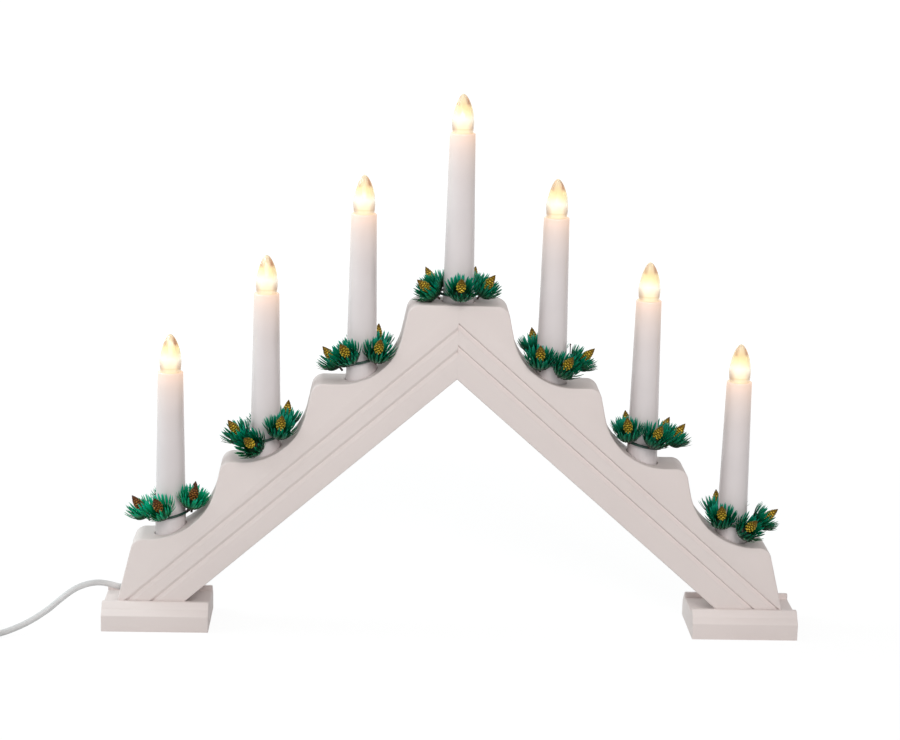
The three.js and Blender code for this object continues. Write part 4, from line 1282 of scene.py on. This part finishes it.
def tier_line(tier, spread, lift):
    """Start, bend and tip of a needle as (radius, height), its tip spread and lifted."""
    _, start, bend, tip = TIERS[tier]
    bend = (lerp(start[0], bend[0], spread), bend[1])
    return Vector(start), Vector(bend), Vector((tip[0] * spread, tip[1] + lift))


def cup_shape():
    """Ridged green bowl from which a rosette's needles part."""
    ridges = TIERS[0][0]
    sides = 4 * ridges
    turns = [pi / 2 * k / CUP_ROWS for k in range(1, CUP_ROWS + 1)]
    outer = [Vector((CUP_RADIUS * sin(t), CUP_HEIGHT * (1 - cos(t)))) for t in turns]
    rows = [Vector((0, 0)), *outer, *[p + Vector((-CUP_WALL, CUP_WALL / 2)) for p in outer[:1:-1]]]
    rows.append(Vector((0, rows[-1].y)))
    verts, along = [], []
    for row in rows:
        for k in range(sides):
            wave = cos(ridges * tau * k / sides)
            radius = row.x * (1 + CUP_RIDGE * wave * min(1.0, row.x / CUP_RIDGE_FULL))
            verts.append(Vector(around(radius, row.y, k, sides)))
            # painted shade: the cup stays at the dark end of the ramp, darkest at its bottom
            along.append(CUP_PALE * max(0.0, row.y) / CUP_HEIGHT)
    return verts, bands(len(rows), sides), along


def cone_shape():
    """Small cone: an egg with rows of pointed scales; the crest value is high on a scale."""
    sides, rows = CONE_COLUMNS * CONE_COLUMN_STEPS, CONE_ROWS * CONE_ROW_STEPS
    verts, crest = [], []
    for row in range(rows + 1):
        share = row / rows
        wave = sin(pi * lerp(CONE_EGG[0], 1.0, share)) ** CONE_EGG[1]
        egg = CONE_RADIUS * wave * lerp(*CONE_TAPER, share)
        bare = max(0.0, share - CONE_BARE) / (1 - CONE_BARE)
        gold = (1 - CONE_FADE * bare) ** CONE_FADE_POWER
        phase = CONE_ROWS * share
        offset = 0.5 * (int(phase) % 2)
        for k in range(sides):
            from_middle = abs((k / sides * CONE_COLUMNS + offset) % 1.0 - 0.5) * 2
            across = max(0.0, 1 - from_middle ** CONE_SCALE_POWERS[0])
            scale = across * (phase % 1.0) ** CONE_SCALE_POWERS[1]
            radius = egg * (CONE_SUNK + CONE_SCALE * scale)
            verts.append(Vector(around(radius, CONE_START + CONE_LENGTH * share, k, sides)))
            crest.append(scale * gold)
    return verts, [*bands(rows + 1, sides), tuple(reversed(range(sides)))], crest


def has_room(point, candle_x):
    """True where a point clears the candle and the wood."""
    if hypot(point.x - candle_x, point.y) < CANDLE_BASE_RADIUS + CANDLE_CLEAR:
        return False
    return abs(point.y) > BOARD / 2 + WOOD_CLEAR or point.z > arm_top(point.x) + WOOD_LIFT


def pushed_clear(point, candle_x):
    """A point moved out of the candle and up off the wood."""
    away = Vector((point.x - candle_x, point.y, 0))
    least = CANDLE_BASE_RADIUS + CANDLE_CLEAR
    if away.length < least:
        point = point + away * (least / away.length - 1)
    if abs(point.y) < BOARD / 2 + WOOD_CLEAR:
        point.z = max(point.z, arm_top(point.x) + WOOD_LIFT)
    return point


CUP_SHAPE, CONE_SHAPE = cup_shape(), cone_shape()


def rosette(frame_of, candle_x, dice, needles):
    """Adds a cup and its needles; a needle that would meet the candle or the wood folds up or goes."""
    verts, faces, along = CUP_SHAPE
    needles.add([pushed_clear(frame_of @ v, candle_x) for v in verts], faces, along, dice.random())
    for tier, (count, *_) in enumerate(TIERS):
        offset = dice.random()
        for k in range(count):
            turn = tau * (k + offset + dice.uniform(*TURN_DRAW)) / count
            out = Vector((cos(turn), sin(turn), 0))
            spread = dice.uniform(*SPREAD_DRAW)
            lift = dice.uniform(*LIFT_DRAW)
            own = dice.random()
            width = NEEDLE_WIDTH * dice.uniform(*WIDTH_DRAW)
            flat = (frame_of.to_3x3() @ (UP - out * BLADE_LEAN)).normalized()
            for fold in range(FOLDS):
                line = tier_line(tier, spread * (1 - FOLD_IN * fold), lift + FOLD_UP * fold)
                start, bend, tip = (frame_of @ (out * p.x + UP * p.y) for p in line)
                if all(has_room(bent(start, bend, tip, t), candle_x) for t in FOLD_TESTS):
                    verts, faces, along = blade(start, bend, tip, flat, width)
                    rise = max(0.0, (tip - start).normalized().z)
                    # painted light: a needle that rises gets paler towards its tip, as if lit from above
                    painted_light = min(1.0, PALE_TIP + PALE_RISE * rise**PALE_POWER)
                    needles.add(verts, faces, [lerp(PALE_ROOT, painted_light, share) for share in along], own)
                    break


def ring_frame(number):
    """Place and tilt of a ring, which hangs down towards the outside."""
    height = level(abs(number)) + (RING_HEIGHT if number else RING_HEIGHT_APEX)
    tilt = radians(RING_TILT) * ((number > 0) - (number < 0))
    return Matrix.Translation((CANDLE_PITCH * number, 0, height)) @ Matrix.Rotation(tilt, 4, "Y")


def sprig_frame(ring, azimuth, rise, shift, dice):
    """Place of a sprig, its axis along Z."""
    spin = Matrix.Rotation(radians(azimuth), 4, "Z")
    rise = radians(rise + dice.uniform(-SPRIG_JITTER, SPRIG_JITTER))
    out = HUB_RADIUS + max(0, shift) * cos(rise)
    hub = Matrix.Translation((out, 0, HUB_LIFT + shift * sin(rise)))
    lean = Matrix.Rotation(pi / 2 - rise, 4, "Y")
    twist = Matrix.Rotation(dice.uniform(0, tau), 4, "Z")
    return ring @ spin @ hub @ lean @ twist


def on_ring(ring, azimuth):
    return ring @ Matrix.Rotation(radians(azimuth), 4, "Z") @ Vector((RING_RADIUS, 0, 0))


def stub(start, frame_of, verts, faces):
    """Adds the wire of a sprig: from the ring to its root and a little way out below."""
    root = frame_of @ (UP * STUB_ROOT)
    end = frame_of @ (UP * -STUB_LENGTH)
    if abs(end.y) < BOARD / 2 + STUB_WOOD_CLEAR:
        end.z = max(end.z, arm_top(end.x) + WOOD_LIFT)
    tube([start, start.lerp(root, STUB_BEND), root, end], STUB_RADIUS, STUB_SIDES, verts, faces)


def stick(start, height, verts, faces):
    """Adds an upright wire end with a knob near its top."""

    def knobbed(share):
        return STICK_KNOB if STICK_KNOB_FROM < share < STICK_KNOB_TO else STICK_RADIUS

    points = [start + UP * (height * k / STICK_STEPS) for k in range(STICK_STEPS + 1)]
    tube(points, knobbed, STUB_SIDES, verts, faces)


def needle_ring(i, number):
    dice = random.Random(FIRST_SEED + i)
    ring = ring_frame(number)
    needles, cones = Cluster(), Cluster()
    ends, wire = ([], []), ([], [])
    for azimuth, rise, shift in SPRIGS[i]:
        frame_of = sprig_frame(ring, azimuth, rise, shift, dice)
        rosette(frame_of, CANDLE_PITCH * number, dice, needles)
        verts, faces, crest = CONE_SHAPE
        cones.add([frame_of @ v for v in verts], faces, crest, dice.random())
        stub(on_ring(ring, azimuth), frame_of, *ends)
    if i in STICKS:
        azimuth, height = STICKS[i]
        stick(on_ring(ring, azimuth), height, *ends)
    loop = [ring @ Vector(around(RING_RADIUS, 0, k, RING_STEPS)) for k in range(RING_STEPS + 1)]
    tube(loop, RING_WIRE_RADIUS, WIRE_SIDES, *wire)
    body = f"ring_{i}"
    greens, paint = (FRESH, RUSSET) if i == FRESH_RING else (EMERALD, GOLD)
    for name, mesh, material, sharp in (
        (f"{body}_needles", outward(needles.mesh(f"{body}_needles")), greens, NEEDLE_SHARP),
        (f"{body}_cones", merged(cones.mesh(f"{body}_cones", "crest"), CONE_MERGE), paint, CONE_SHARP),
        (f"{body}_wire", outward(new_mesh(f"{body}_wire", *wire)), GREEN_WIRE, PLAIN_SHARP),
        (f"{body}_wire_ends", outward(new_mesh(f"{body}_wire_ends", *ends)), BROWN_WIRE, PLAIN_SHARP),
    ):
        place(name, mesh, material, body, [f"needle_ring_{i}"], sharp=sharp)


for i, number in enumerate(CANDLE_NUMBERS, 1):
    needle_ring(i, number)


# Solids that stay as they are


def dress(node, material):
    mesh = frame["nodes"][node].data
    mesh.materials.clear()
    mesh.materials.append(material)


for end in ("front", "back"):
    dress(f"mitre_dowel_{end}", BARE_WOOD)
    for side in ("left", "right"):
        dress(f"{side}_foot_screw_{end}", STEEL)
for node in ("wiring_left", "wiring_right", "plug"):
    dress(node, WHITE)
for i in range(1, len(CANDLE_NUMBERS) + 1):
    dress(f"lamp_holder_{i}", DARK)
